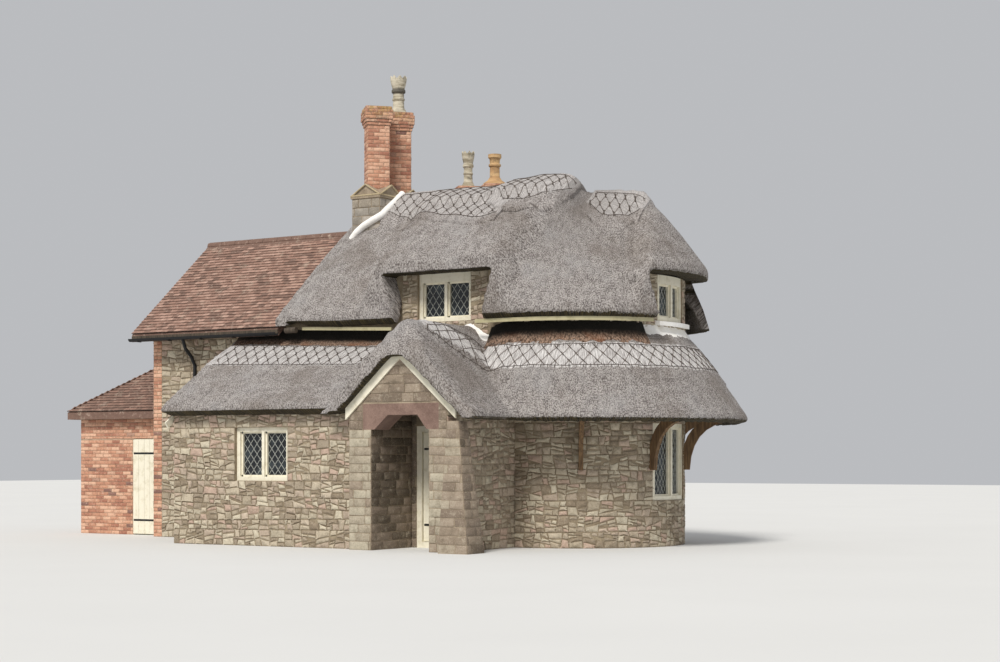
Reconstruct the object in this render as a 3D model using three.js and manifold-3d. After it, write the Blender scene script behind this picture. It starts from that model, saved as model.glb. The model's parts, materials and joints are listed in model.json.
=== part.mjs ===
// A thatched cottage with a round end, a tiled wing, a lean-to, a gabled porch and a small outbuilding.
// x runs along the front to the right, y goes back and z goes up. Sizes are in millimetres.
import * as THREE from "three";
import { ConvexGeometry } from "three/addons/geometries/ConvexGeometry.js";
import { mergeVertices } from "three/addons/utils/BufferGeometryUtils.js";
import Module from "manifold-3d";

const wasm = await Module();
wasm.setup();

const GAP = 0.3; // left between a piece and the one whose shape it follows
const SKY = 9000; // above every roof
const DEEP = -500; // below every roof volume

// Main block
const LEFT = -8430; // outside of the left gable wall
const BEND = 420; // where the straight walls end and the round end begins
const DEPTH = 4100; // front face to back face
const MIDDLE = DEPTH / 2; // the ridge line, and the middle of the round end
const WALL = 450;
const ROUND = DEPTH / 2; // outside radius of the round end
const FLOOR_TOP = 100;
const UPPER_FLOOR = [3050, 3250];
const WING_END = -4850; // where the tiles stop and the thatch starts

// Upper thatch: its plan at a height is a stadium that narrows from the eaves to the ridge
const EAVE_REACH = 2500; // ridge line to eave tip
const EAVE_TIP = 4330;
const EAVE_UNDER = 4150;
const EAVE_CUT = 190; // how far the eave's underside lies in from its tip
const THATCH = 420; // thickness, measured upright
const BULGE = [
  [-4850, 40],
  [-4300, 120],
  [-3600, 200],
];
const END_BULGE = 90; // at the round end
const RIDGE_END = 1560; // the ridge runs this far past the bend
const RIDGE = [
  [-4850, 6420],
  [-4600, 6540],
  [-4310, 6660],
  [-3900, 6780],
  [-3600, 6825],
  [-2100, 6805],
  [-1240, 6775],
  [-280, 6835],
  [330, 6805],
  [640, 6545],
  [1200, 6505],
  [1860, 6465],
  [1980, 6425],
];
const THATCH_END_RIM = 250; // solid straw where the thatch stops over the tiles

// Hood over the dormer, and the like hood over the round end's window
const HOOD_RISE = 950;
const HOOD = { from: -2950, full: -2350, until: 100, to: 560 };
const DORMER_HOLE = { low: [-2050, -165], high: [-2330, 90], under: 4150, soffit: 5050 };
const END_HOOD_RISE = 800;
const END_HOOD_ANGLE = { full: 27, none: 37 };
const END_HOLE = { low: 22, high: 29, under: 4100, soffit: 4960 };

// Ridge dressing: a thicker band of straw over the ridge
const RIDGE_BAND = 110;
const RIDGE_BAND_REACH = 780;

// Tiled wing
const TILE_EAVE = [-350, 4150];
const TILE_RIDGE = 6200;
const TILE_THICK = 150;
const TILE_VERGE = -8700;
const RIDGE_TILE = { half: 130, lip: 45, crown: 60, sunk: 5 };
const TILE_PITCH = (TILE_RIDGE - TILE_EAVE[1]) / (MIDDLE - TILE_EAVE[0]);

// Lean-to
const LEAN = { left: -6050, front: -2000, wall: 350, verge: -6150, tip: -2250, tipTop: 2600, under: 2430 };
const LEAN_TOP = [3980, 3740];
const LEAN_THATCH = 360;
const LEAN_BULGE = 60;

// Porch
const PORCH = { left: -1760, right: 310, front: -2200, faceBack: -1750, inner: [-1286, -60] };
const PORCH_WALL = { y: -950, thick: 150 }; // behind the recess, with the front door
const PORCH_AXIS = -655;
const PORCH_ROOF = { under: 3540, underSlope: 0.9, verge: -2400, hoodUnder: 3370 };
const PORCH_PROFILE = [
  [0, 4050],
  [150, 3985],
  [300, 3815],
  [620, 3400],
  [1223, 2735],
  [1400, 2560],
  [1620, 2420],
];
const PORCH_FOOT = { left: -2270, right: 950, cut: 2400, cutRight: 2270 };
const PORCH_HIP = { from: -2040, slope: 1.75 };
const LINTEL = { z: [2115, 2367, 2565], ends: [-1460, 140], throat: [-1218, -114], flat: [-927, -308] };
const BARGE = { deep: 150, thick: 40, foot: 1162 };

// Battered buttress beside the porch
const BUTTRESS = { left: 311, right: [545, 900], back: -1940, front: [-2200, -2480], top: 2250 };

// Lower thatch round the end
const SKIRT = { reach: 1190, top: 3950, tip: 2380, under: 2245, cut: 220, thick: 450, bulge: 70 };
const SKIRT_DIP = [
  [-655, 0],
  [-380, 110],
  [220, 0],
];

// Curved brackets round the end and the eaves plate that they carry
const BRACKET_ANGLES = [-58, -19, 19, 58, 90];
const BRACKET = { wide: 80, deep: 120, foot: 1400, rise: 330, reach: 800, head: 160, z: [2290, 2440] };
const EAVES_PLATE = { from: 700, to: 790, z: [2400, 2700] };

// Windows: opening across, from, to
const WALL_TOP = 5049.4;
const DORMER_WINDOW = { x: [-1810, -630], z: [4150, WALL_TOP] };
const LEAN_WINDOW = { x: [-4550, -3310], z: [1200, 2180] };
const BACK_WINDOW = { x: [-6500, -5300], z: [1050, 2150] };
const GABLE_WINDOW = { y: [1550, 2550], z: [4000, 4900] };
const END_LOWER = { half: 17.5, z: [850, 2250] };
const END_UPPER = { half: 14, z: [4120, 4959.4] };
const FRAME = 75;
const FRAME_DEPTH = 90;
const MULLION = 60;
const HEAD_BOARD = 90; // added to the head of a window under a hood
const GLASS = 8;
const REVEAL = 60; // frame's face behind the wall's face

// Doors
const HALL_OPENING = { x: [-1080, -200], top: 2100 };
const FRONT_DOOR = { x: [-1067, -180], z: [112, 2080], thick: 50 };
const DOOR_FRAME = 105;
const SHED_DOOR = { x: [-9450, -8650], z: [12, 2020], thick: 45 };
const CLEAR = 8; // running clearance round a door
const HINGE = { pin: 10, off: 12, tall: 60, strap: 420, plate: 60, thick: 8, heights: [350, 1650] };

// Outbuilding
const SHED = { left: -11000, front: 500, back: 3600, wall: 250, eave: 2600, roof: 150, reach: 200 };
const SHED_RIDGE = { z: 3850, hip: -9450 };

// Chimneys
const STACK = { x: [-4310, -3630], y: [1310, 2810], top: 6865, peak: 7090 };
const COURSE = { proud: 25, tall: 60 }; // string course round a chimney base
const SHAFT = { side: 440, capFrom: 8280, top: 8665 };
const REAR_STACK = { x: [-3590, -2270], y: [3650, 4270], top: 6300, peak: 6560 };
const REAR_SHAFT = { capFrom: 6990, top: 7300 };
// Courses of a shaft's cap: side added, from and to as shares of the cap's height
const CAP_COURSES = [
  [40, 0, 1],
  [80, 0.16, 0.98],
  [120, 0.32, 0.82],
];
// Pots as radius and height, up the outside and down into the hollow
const CROWN_POT = [
  [0, 0],
  [150, 0],
  [150, 60],
  [118, 100],
  [105, 400],
  [140, 460],
  [140, 530],
  [118, 560],
  [138, 760],
  [138, 770],
  [98, 770],
  [92, 520],
  [0, 520],
];
const CROWN_NOTCH = { wide: 55, deep: 110 };
const SMALL_CROWN = 0.82; // size of the rear crowned pot
const BUFF_POT = [
  [0, 0],
  [185, 0],
  [170, 60],
  [105, 150],
  [95, 390],
  [125, 440],
  [125, 520],
  [98, 560],
  [98, 650],
  [135, 660],
  [135, 690],
  [60, 690],
  [60, 460],
  [0, 460],
];

// Gutter under the tiled eave, and its downpipe
const GUTTER = { radius: 60, y: -410, z: 4060, pipe: 35, x: -7270 };

const COLOURS = {
  thatch: [0x8b8178, 0.95],
  ridge: [0x9c938a, 0.95],
  stone: [0x9a8f80, 0.9],
  brick: [0xa8573f, 0.9],
  tile: [0x8e4a36, 0.85],
  cream: [0xe4dcc0, 0.55],
  timber: [0x6f4a2c, 0.75],
  lintel: [0xa98a7c, 0.8],
  pot: [0xb7ac93, 0.8],
  buff: [0xc88a52, 0.8],
  glass: [0x2c3136, 0.1],
  iron: [0x15171a, 0.5],
  floor: [0x8d8378, 0.9],
};

const cottage = new THREE.Group();

function place(name, body, look) {
  const mesh = body.getMesh();
  const geometry = new THREE.BufferGeometry();
  geometry.setAttribute("position", new THREE.BufferAttribute(mesh.vertProperties, mesh.numProp));
  geometry.setIndex(new THREE.BufferAttribute(mesh.triVerts, 1));
  geometry.computeVertexNormals();
  const [color, roughness] = COLOURS[look];
  const material = new THREE.MeshStandardMaterial({ color, roughness, metalness: 0 });
  const piece = new THREE.Mesh(geometry, material);
  piece.name = name;
  cottage.add(piece);
}

function solid(geometry) {
  const bare = geometry.clone();
  bare.deleteAttribute("normal");
  bare.deleteAttribute("uv");
  const merged = mergeVertices(bare, 1e-3);
  const triVerts = new Uint32Array(merged.index.array);
  return new wasm.Manifold(
    new wasm.Mesh({ numProp: 3, vertProperties: merged.attributes.position.array, triVerts }),
  );
}

function box(x0, x1, y0, y1, z0, z1) {
  const geometry = new THREE.BoxGeometry(x1 - x0, y1 - y0, z1 - z0);
  return solid(geometry.translate((x0 + x1) / 2, (y0 + y1) / 2, (z0 + z1) / 2));
}

function outline(points) {
  return new THREE.Shape(points.map(([a, b]) => new THREE.Vector2(a, b)));
}

function extrude(shape, depth, curveSegments = 12) {
  return new THREE.ExtrudeGeometry(shape, { depth, bevelEnabled: false, curveSegments });
}

// Outline in y and z, drawn out along x
function alongX(points, x0, x1) {
  const geometry = extrude(outline(points), x1 - x0);
  const turn = new THREE.Matrix4().makeBasis(
    new THREE.Vector3(0, 1, 0),
    new THREE.Vector3(0, 0, 1),
    new THREE.Vector3(1, 0, 0),
  );
  return solid(geometry.applyMatrix4(turn).translate(x0, 0, 0));
}

// Outline in x and z, drawn out along y
function alongY(points, y0, y1) {
  const geometry = extrude(outline(points), y1 - y0);
  const turn = new THREE.Matrix4().makeBasis(
    new THREE.Vector3(1, 0, 0),
    new THREE.Vector3(0, 0, 1),
    new THREE.Vector3(0, -1, 0),
  );
  return solid(geometry.applyMatrix4(turn).translate(0, y1, 0));
}

const radians = THREE.MathUtils.degToRad;

// Part of a ring about the middle of the round end, between two angles from the x axis
function ring(inner, outer, from, to, z0, z1) {
  const a = radians(from);
  const b = radians(to);
  const shape = new THREE.Shape();
  shape.absarc(BEND, MIDDLE, outer, a, b, false);
  if (inner > 0) shape.absarc(BEND, MIDDLE, inner, b, a, true);
  else shape.lineTo(BEND, MIDDLE);
  const turns = Math.max(2, Math.round((to - from) / 6));
  return solid(extrude(shape, z1 - z0, turns).translate(0, 0, z0));
}

function union(bodies) {
  return bodies.reduce((whole, body) => whole.add(body));
}

// Closed body between a sheet of points and the level DEEP. Its columns run from wall or ridge to eave.
// A folded sheet has its columns in pairs that share their ridge points, so it needs no rim there.
function below(sheet, folded) {
  const columns = sheet.length;
  const rows = sheet[0].length;
  const top = (i, j) => i * rows + j;
  const base = (i, j) => (columns + i) * rows + j;
  const position = [];
  for (const column of sheet) for (const p of column) position.push(p[0], p[1], p[2]);
  for (const column of sheet) for (const p of column) position.push(p[0], p[1], DEEP);
  const index = [];
  const quad = (a, b, c, d) => index.push(a, b, c, a, c, d);
  for (let i = 0; i + 1 < columns; i++) {
    for (let j = 0; j + 1 < rows; j++) {
      quad(top(i, j), top(i, j + 1), top(i + 1, j + 1), top(i + 1, j));
      quad(base(i, j), base(i + 1, j), base(i + 1, j + 1), base(i, j + 1));
    }
    const eave = rows - 1;
    quad(base(i, eave), base(i + 1, eave), top(i + 1, eave), top(i, eave));
    if (!folded) quad(base(i, 0), top(i, 0), top(i + 1, 0), base(i + 1, 0));
  }
  const last = columns - 1;
  for (let j = 0; j + 1 < rows; j++) {
    quad(base(0, j), base(0, j + 1), top(0, j + 1), top(0, j));
    quad(base(last, j), top(last, j), top(last, j + 1), base(last, j + 1));
  }
  const geometry = new THREE.BufferGeometry();
  geometry.setAttribute("position", new THREE.Float32BufferAttribute(position, 3));
  geometry.setIndex(index);
  return solid(geometry);
}

function between(from, to, count) {
  return Array.from({ length: count + 1 }, (_, i) => from + ((to - from) * i) / count);
}

function steps(table, x) {
  const next = table.findIndex(([at]) => at >= x);
  if (next === 0) return table[0][1];
  if (next < 0) return table[table.length - 1][1];
  const [a, za] = table[next - 1];
  const [b, zb] = table[next];
  return THREE.MathUtils.mapLinear(x, a, b, za, zb);
}

// Upper thatch

const smooth = THREE.MathUtils.smoothstep;

function frontHood(x) {
  return HOOD_RISE * smooth(x, HOOD.from, HOOD.full) * (1 - smooth(x, HOOD.until, HOOD.to));
}

function endHood(angle) {
  return END_HOOD_RISE * (1 - smooth(Math.abs(angle), END_HOOD_ANGLE.full, END_HOOD_ANGLE.none));
}

// How far the roof bulges at a place along the front, or at an angle round the end
const frontBulge = (x) => steps(BULGE, x);

function endBulge(angle) {
  return THREE.MathUtils.lerp(frontBulge(BEND), END_BULGE, smooth(angle, -90, -40));
}

// One column of the roof from ridge to eave: its ridge point, its way out in plan, its hood and its bulge
function column(ridgeX, eaveX, side, reachY, hood, bulge) {
  return { ridgeX, eaveX, side, reachY, hood, bulge, ridgeZ: steps(RIDGE, ridgeX) };
}

function upperColumns() {
  const places = [WING_END, -4600, -4310, -3900, -3400, ...between(HOOD.from, HOOD.full, 5)];
  places.push(-1900, -1500, -1000, -500, -150, ...between(HOOD.until, BEND - 60, 3));
  const front = places.map((x) => column(x, x, -1, EAVE_REACH, frontHood(x), frontBulge(x)));
  const angles = [...between(-90, -50, 6), ...between(-44, -24, 8), -16, -8, 0];
  const round = angles.map((angle) => {
    const c = Math.cos(radians(angle));
    const s = Math.sin(radians(angle));
    const hood = Math.max(endHood(angle), frontHood(BEND + 200 * (angle + 90)));
    return column(BEND + RIDGE_END * c, BEND + EAVE_REACH * c, -1, -EAVE_REACH * s, hood, endBulge(angle));
  });
  const half = [...front, ...round];
  const mirrored = half.slice(0, -1).reverse();
  return [...half, ...mirrored.map((c) => ({ ...c, side: 1 }))];
}

function upperPoint(c, s, z) {
  return [c.ridgeX + (c.eaveX - c.ridgeX) * s, MIDDLE + c.side * c.reachY * s, z];
}

function upperHeight(c, s, hood) {
  return c.ridgeZ - (c.ridgeZ - EAVE_TIP) * s + 4 * c.bulge * s * (1 - s) + hood * s;
}

const columns = upperColumns();
const ROWS = 9;
const upperOuter = below(
  columns.map((c) => between(0, 1, ROWS).map((s) => upperPoint(c, s, upperHeight(c, s, c.hood)))),
  true,
);

const CUT_ROW = 1 - EAVE_CUT / EAVE_REACH;
const upperInner = below(
  columns.map((c) => {
    const rows = between(0, CUT_ROW, ROWS - 1).map((s) => {
      const z = upperHeight(c, s, 0) - THATCH;
      return upperPoint(c, s, s === CUT_ROW ? EAVE_UNDER : z);
    });
    rows.push(upperPoint(c, 1.03, EAVE_TIP - 70));
    return rows;
  }),
  true,
);

// Space that a dormer needs through the thatch, on the front or mirrored to the back
function dormerHole(inset, back) {
  const { low, high, under, soffit } = DORMER_HOLE;
  const points = [
    [low[0] + inset, under - 400],
    [low[1] - inset, under - 400],
    [low[1] - inset, under],
    [high[1] - inset, soffit - inset],
    [high[0] + inset, soffit - inset],
    [low[0] + inset, under],
  ];
  return back ? alongY(points, MIDDLE + 700, DEPTH + 1500) : alongY(points, -1500, MIDDLE - 700);
}

function endHole(inset) {
  const { low, high, under, soffit } = END_HOLE;
  const y = (angle) => EAVE_REACH * Math.sin(radians(angle)) - inset;
  const points = [
    [MIDDLE - y(low), under - 400],
    [MIDDLE + y(low), under - 400],
    [MIDDLE + y(low), under],
    [MIDDLE + y(high), soffit - inset],
    [MIDDLE - y(high), soffit - inset],
    [MIDDLE - y(low), under],
  ];
  return alongX(points, BEND + 700, BEND + 3200);
}

const tileTop = (y) => TILE_EAVE[1] + (MIDDLE - TILE_EAVE[0] - Math.abs(y - MIDDLE)) * TILE_PITCH;
const tileUnder = (y) => tileTop(y) - TILE_THICK;

function underTiles(x0, x1, lowered) {
  const edge = TILE_EAVE[0] - 600;
  return alongX(
    [
      [edge, DEEP],
      [2 * MIDDLE - edge, DEEP],
      [2 * MIDDLE - edge, tileUnder(edge) - lowered],
      [MIDDLE, tileUnder(MIDDLE) - lowered],
      [edge, tileUnder(edge) - lowered],
    ],
    x0,
    x1,
  );
}

const pastEnd = box(WING_END + THATCH_END_RIM, SKY, -SKY, SKY, 2 * DEEP, SKY);
const upperHollow = union([
  upperInner.intersect(pastEnd),
  underTiles(WING_END - 10, WING_END + THATCH_END_RIM, 0),
  dormerHole(0, false),
  dormerHole(0, true),
  endHole(0),
]);
const upperRoom = union([
  upperInner.intersect(pastEnd).translate([0, 0, -GAP]),
  underTiles(LEFT - 10, WING_END + THATCH_END_RIM, GAP),
  dormerHole(2 * GAP, false),
  dormerHole(2 * GAP, true),
  endHole(2 * GAP),
]);

const stackHole = box(
  STACK.x[0] - GAP,
  STACK.x[1] + GAP,
  STACK.y[0] - GAP,
  STACK.y[1] + GAP,
  UPPER_FLOOR[0] - 100,
  SKY,
);
const courseHole = box(
  STACK.x[0] - COURSE.proud - GAP,
  STACK.x[1] + COURSE.proud + GAP,
  STACK.y[0] - COURSE.proud - GAP,
  STACK.y[1] + COURSE.proud + GAP,
  STACK.top - COURSE.tall - GAP,
  SKY,
);
const rearStackHole = box(
  REAR_STACK.x[0] - GAP,
  REAR_STACK.x[1] + GAP,
  REAR_STACK.y[0] - GAP,
  REAR_STACK.y[1] + GAP,
  DEEP,
  SKY,
);

const stackHoles = union([stackHole, courseHole, rearStackHole]);
place("upper_thatch", upperOuter.subtract(upperHollow).subtract(stackHoles), "thatch");

// Finds how far down the roof a point of the plan lies, from 0 at the ridge to 1 at the eave
function downRoof(x, y) {
  const across = Math.abs(y - MIDDLE);
  if (x <= BEND) return across / EAVE_REACH;
  let low = across / EAVE_REACH;
  let high = 1;
  for (let i = 0; i < 30; i++) {
    const s = (low + high) / 2;
    const a = (x - BEND) / (RIDGE_END + (EAVE_REACH - RIDGE_END) * s);
    const b = across / (EAVE_REACH * Math.max(s, 1e-6));
    if (a * a + b * b > 1) low = s;
    else high = s;
  }
  return high;
}

function roofTop(x, y) {
  const s = downRoof(x, y);
  const span = RIDGE_END + (EAVE_REACH - RIDGE_END) * s;
  const ridgeX = x <= BEND ? x : BEND + (RIDGE_END * (x - BEND)) / span;
  const hood = x <= BEND ? frontHood(x) : 0;
  const angle = (Math.atan2(x - BEND, Math.abs(y - MIDDLE)) * 180) / Math.PI - 90;
  const bulge = x <= BEND ? frontBulge(x) : endBulge(angle);
  return upperHeight({ ridgeZ: steps(RIDGE, ridgeX), bulge }, s, hood);
}

// Raised bands of straw along the ridge, each with a scalloped lower edge
function ridgeBand(x0, x1, scallops, rise) {
  const sheet = between(x0, x1, 10).map((x) => {
    const t = (x - x0) / (x1 - x0);
    const reach = RIDGE_BAND_REACH + 70 * Math.abs(Math.sin(Math.PI * scallops * t));
    return between(MIDDLE + reach, MIDDLE - reach, 8).map((y) => [x, y, roofTop(x, y) + rise]);
  });
  return below(sheet, false);
}

const bands = [
  ridgeBand(-3600, -1180, 2, RIDGE_BAND),
  ridgeBand(-1260, 470, 1, RIDGE_BAND + 30),
  ridgeBand(440, 1960, 1, RIDGE_BAND),
];
const aboveRoom = box(-SKY, SKY, -SKY, SKY, EAVE_TIP, SKY);
const straw = upperOuter.translate([0, 0, GAP]);
place("ridge_band", union(bands).intersect(aboveRoom).subtract(straw).subtract(stackHoles), "ridge");

// Tiled wing

const chevron = [
  [TILE_EAVE[0], TILE_EAVE[1]],
  [MIDDLE, TILE_RIDGE],
  [2 * MIDDLE - TILE_EAVE[0], TILE_EAVE[1]],
  [2 * MIDDLE - TILE_EAVE[0], TILE_EAVE[1] - TILE_THICK],
  [MIDDLE, TILE_RIDGE - TILE_THICK],
  [TILE_EAVE[0], TILE_EAVE[1] - TILE_THICK],
].reverse();
const { half, lip, crown, sunk } = RIDGE_TILE;
const ridgeTiles = alongX(
  [
    [MIDDLE - half, tileTop(MIDDLE - half) - sunk],
    [MIDDLE + half, tileTop(MIDDLE + half) - sunk],
    [MIDDLE + half, tileTop(MIDDLE + half) + lip],
    [MIDDLE, TILE_RIDGE + crown],
    [MIDDLE - half, tileTop(MIDDLE - half) + lip],
  ],
  TILE_VERGE,
  WING_END - GAP,
);
place("tiled_roof", alongX(chevron, TILE_VERGE, WING_END - GAP).add(ridgeTiles), "tile");

// Lower thatch: the volumes over and under the lean-to, the porch and the round end's skirt

function leanHeight(x, t) {
  const top = THREE.MathUtils.mapLinear(x, LEAN.verge, PORCH_AXIS, ...LEAN_TOP);
  return top - (top - LEAN.tipTop) * t + 4 * LEAN_BULGE * t * (1 - t);
}

const leanPlaces = between(LEAN.verge, PORCH_AXIS, 8);
const leanOuter = below(
  leanPlaces.map((x) => between(0, 1, 6).map((t) => [x, LEAN.tip * t, leanHeight(x, t)])),
  false,
);
const leanInner = below(
  [LEAN.verge - 50, ...leanPlaces].map((x) => {
    const rows = between(-0.1, 0.9, 6).map((t) => [x, LEAN.tip * t, leanHeight(x, t) - LEAN_THATCH]);
    rows.push([x, LEAN.tip * 0.93, LEAN.under], [x, LEAN.tip * 1.03, LEAN.tipTop - 80]);
    return rows;
  }),
  false,
);

function porchHeight(x, y) {
  const gable = steps(PORCH_PROFILE, Math.abs(x - PORCH_AXIS));
  const hip = PORCH_PROFILE[0][1] - Math.max(0, PORCH_HIP.from - y) * PORCH_HIP.slope;
  return Math.min(gable, hip);
}

const hoodBack = PORCH.front - BARGE.thick;

function porchUnder(x, y) {
  const cut = x < PORCH_AXIS ? PORCH_FOOT.cut : PORCH_FOOT.cutRight;
  const soffit = Math.max(cut, PORCH_ROOF.under - PORCH_ROOF.underSlope * Math.abs(x - PORCH_AXIS));
  return y < hoodBack - GAP ? Math.min(PORCH_ROOF.hoodUnder, soffit) : soffit;
}

const across = [...PORCH_PROFILE.slice(1, -1).map(([x]) => x), 460, 940];
const porchPlaces = [PORCH_AXIS, ...across.map((x) => PORCH_AXIS - x), ...across.map((x) => PORCH_AXIS + x)]
  .concat(PORCH_FOOT.left, PORCH_FOOT.right)
  .sort((a, b) => a - b);
const porchRows = [0, -700, -1500, ...between(PORCH_HIP.from, PORCH_ROOF.verge, 3)];
const porchOuter = below(
  porchPlaces.map((x) => porchRows.map((y) => [x, y, porchHeight(x, y)])),
  false,
);
const porchInner = below(
  [PORCH_FOOT.left - 50, ...porchPlaces, PORCH_FOOT.right + 50].map((x) =>
    [100, hoodBack, hoodBack - 2 * GAP, PORCH_ROOF.verge - 50].map((y) => [x, y, porchUnder(x, y)]),
  ),
  false,
);

function skirtHeight(t) {
  return SKIRT.top - (SKIRT.top - SKIRT.tip) * t + 4 * SKIRT.bulge * t * (1 - t);
}

// A column of the skirt: where it leaves the wall's middle line, its way out, and how far its top dips
function skirtSheet(overlap, rowsOf) {
  const straight = [PORCH_AXIS - overlap, -380, -100, 220];
  const turn = between(-90, 90, 30);
  const ways = [
    ...straight.map((x) => [x, MIDDLE, 0, -1, steps(SKIRT_DIP, x)]),
    ...turn.map((a) => [BEND, MIDDLE, Math.cos(radians(a)), Math.sin(radians(a)), 0]),
    [BEND - 120 - overlap, MIDDLE, 0, 1, 0],
  ];
  return ways.map(([x, y, dx, dy, dip]) =>
    rowsOf.map(([out, z]) => {
      const lowered = dip * THREE.MathUtils.clamp(1 - out / SKIRT.reach, 0, 1);
      return [x + dx * (ROUND + out), y + dy * (ROUND + out), z - lowered];
    }),
  );
}

const skirtRows = between(-0.1, 1, 7).map((t) => [SKIRT.reach * t, skirtHeight(t)]);
const skirtCut = 1 - SKIRT.cut / SKIRT.reach;
const skirtUnder = (t) => [SKIRT.reach * t, skirtHeight(t) - SKIRT.thick];
const skirtUnderRows = between(-0.3, skirtCut, 6).map(skirtUnder);
skirtUnderRows[skirtUnderRows.length - 1][1] = SKIRT.under;
skirtUnderRows.push([SKIRT.reach * 1.04, SKIRT.tip - 60]);
const skirtOuter = below(skirtSheet(0, skirtRows), false);
const skirtInner = below(skirtSheet(60, skirtUnderRows), false);

// The round wall's segments meet at these angles, so what fits round them turns at the same ones
const SEGMENTS = [-90, -END_LOWER.half, END_LOWER.half, 90];
const mainBody = union([
  box(LEFT - GAP, BEND + 1, -GAP, DEPTH + GAP, 2 * DEEP, SKY),
  ...[0, 1, 2].map((i) => ring(0, ROUND + GAP, SEGMENTS[i], SEGMENTS[i + 1], 2 * DEEP, SKY)),
]);
const lowerHollow = union([leanInner, porchInner, skirtInner]);
const lowerThatch = union([leanOuter, porchOuter, skirtOuter]).subtract(lowerHollow).subtract(mainBody);
const slice = (x0, x1) => lowerThatch.intersect(box(x0, x1, -SKY, MIDDLE, 2 * DEEP, SKY));
place("lean_to_thatch", slice(-SKY, PORCH_FOOT.left - GAP), "thatch");
place("porch_thatch", slice(PORCH_FOOT.left, PORCH_FOOT.right), "thatch");
const skirt = lowerThatch.intersect(box(PORCH_FOOT.right + GAP, SKY, -SKY, SKY, 2 * DEEP, SKY));
const skirtBack = lowerThatch.intersect(box(-SKY, PORCH_FOOT.right + GAP, MIDDLE, SKY, 2 * DEEP, SKY));
place("skirt_thatch", skirt.add(skirtBack), "thatch");
const lowerRoom = lowerHollow.translate([0, 0, -GAP]);

// Main walls

function wall(x0, x1, y0, y1, z0, z1) {
  return box(x0, x1, y0, y1, z0, z1).intersect(upperRoom);
}

const inFront = [0, WALL];
const inBack = [DEPTH - WALL, DEPTH];
const sillZ = DORMER_WINDOW.z[0];
const [dormerLeft, dormerRight] = DORMER_WINDOW.x;
const hallTop = HALL_OPENING.top;

place(
  "front_wall_left",
  union([
    wall(LEFT, dormerLeft, ...inFront, 0, WALL_TOP),
    wall(dormerLeft, HALL_OPENING.x[0], ...inFront, 0, sillZ),
  ]),
  "stone",
);
place(
  "front_wall_over_hall",
  union([
    wall(HALL_OPENING.x[0], HALL_OPENING.x[1], ...inFront, hallTop, sillZ),
    wall(dormerRight, HALL_OPENING.x[1], ...inFront, sillZ, WALL_TOP),
  ]),
  "stone",
);
place("front_wall_right", wall(HALL_OPENING.x[1], BEND, ...inFront, 0, WALL_TOP), "stone");
const backHole = box(...BACK_WINDOW.x, DEPTH - WALL - 10, DEPTH + 10, ...BACK_WINDOW.z);
place(
  "back_wall_left",
  wall(LEFT, REAR_STACK.x[0], ...inBack, 0, WALL_TOP).subtract(backHole),
  "stone",
);
place(
  "back_wall_right",
  union([
    wall(REAR_STACK.x[1], dormerLeft, ...inBack, 0, WALL_TOP),
    wall(dormerLeft, dormerRight, ...inBack, 0, sillZ),
    wall(dormerRight, BEND, ...inBack, 0, WALL_TOP),
  ]),
  "stone",
);
const gableHole = box(LEFT - 10, LEFT + WALL + 10, ...GABLE_WINDOW.y, ...GABLE_WINDOW.z);
place("left_gable_wall", wall(LEFT, LEFT + WALL, WALL, DEPTH - WALL, 0, SKY).subtract(gableHole), "stone");

function roundWall(from, to, z0, z1) {
  return ring(ROUND - WALL, ROUND, from, to, z0, z1).intersect(upperRoom);
}

const roundTop = END_UPPER.z[1];
const lowHalf = END_LOWER.half;
place("round_wall_front", roundWall(-90, -lowHalf, 0, roundTop), "stone");
place("round_wall_back", roundWall(lowHalf, 90, 0, roundTop), "stone");
place("round_wall_sill", roundWall(-lowHalf, lowHalf, 0, END_LOWER.z[0]), "stone");
const highHalf = END_UPPER.half;
const endUpperHole = ring(ROUND - 2 * WALL, ROUND + WALL, -highHalf, highHalf, END_UPPER.z[0], SKY);
const roundMiddle = roundWall(-lowHalf, lowHalf, END_LOWER.z[1], roundTop);
place("round_wall_middle", roundMiddle.subtract(endUpperHole), "stone");

// Floors

function floorSlab(z0, z1) {
  const inside = box(LEFT + WALL, BEND, WALL, DEPTH - WALL, z0, z1);
  const bays = [0, 1, 2].map((i) => ring(0, ROUND - WALL - GAP, SEGMENTS[i], SEGMENTS[i + 1], z0, z1));
  return union([inside, ...bays]);
}

const threshold = box(...HALL_OPENING.x, 0, WALL, 0, FLOOR_TOP);
place("ground_floor", floorSlab(0, FLOOR_TOP).add(threshold), "floor");
place("upper_floor", floorSlab(...UPPER_FLOOR).subtract(stackHole), "timber");

// Lean-to

const insideLean = LEAN.front + LEAN.wall;
const leanWindowHole = box(...LEAN_WINDOW.x, LEAN.front - 10, insideLean + 10, ...LEAN_WINDOW.z);
place(
  "lean_to_front_wall",
  box(LEAN.left, PORCH.left, LEAN.front, insideLean, 0, SKY)
    .intersect(lowerRoom)
    .subtract(leanWindowHole),
  "stone",
);
place(
  "lean_to_left_wall",
  box(LEAN.left, LEAN.left + LEAN.wall, insideLean, 0, 0, SKY).intersect(lowerRoom),
  "stone",
);

const insidePorch = PORCH_WALL.y + PORCH_WALL.thick;
const leanFloor = union([
  box(LEAN.left + LEAN.wall, PORCH.left, insideLean, 0, 0, FLOOR_TOP),
  box(PORCH.left, PORCH.inner[1], insidePorch, 0, 0, FLOOR_TOP),
]);
place("lean_to_floor", leanFloor, "floor");

// Porch

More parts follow.
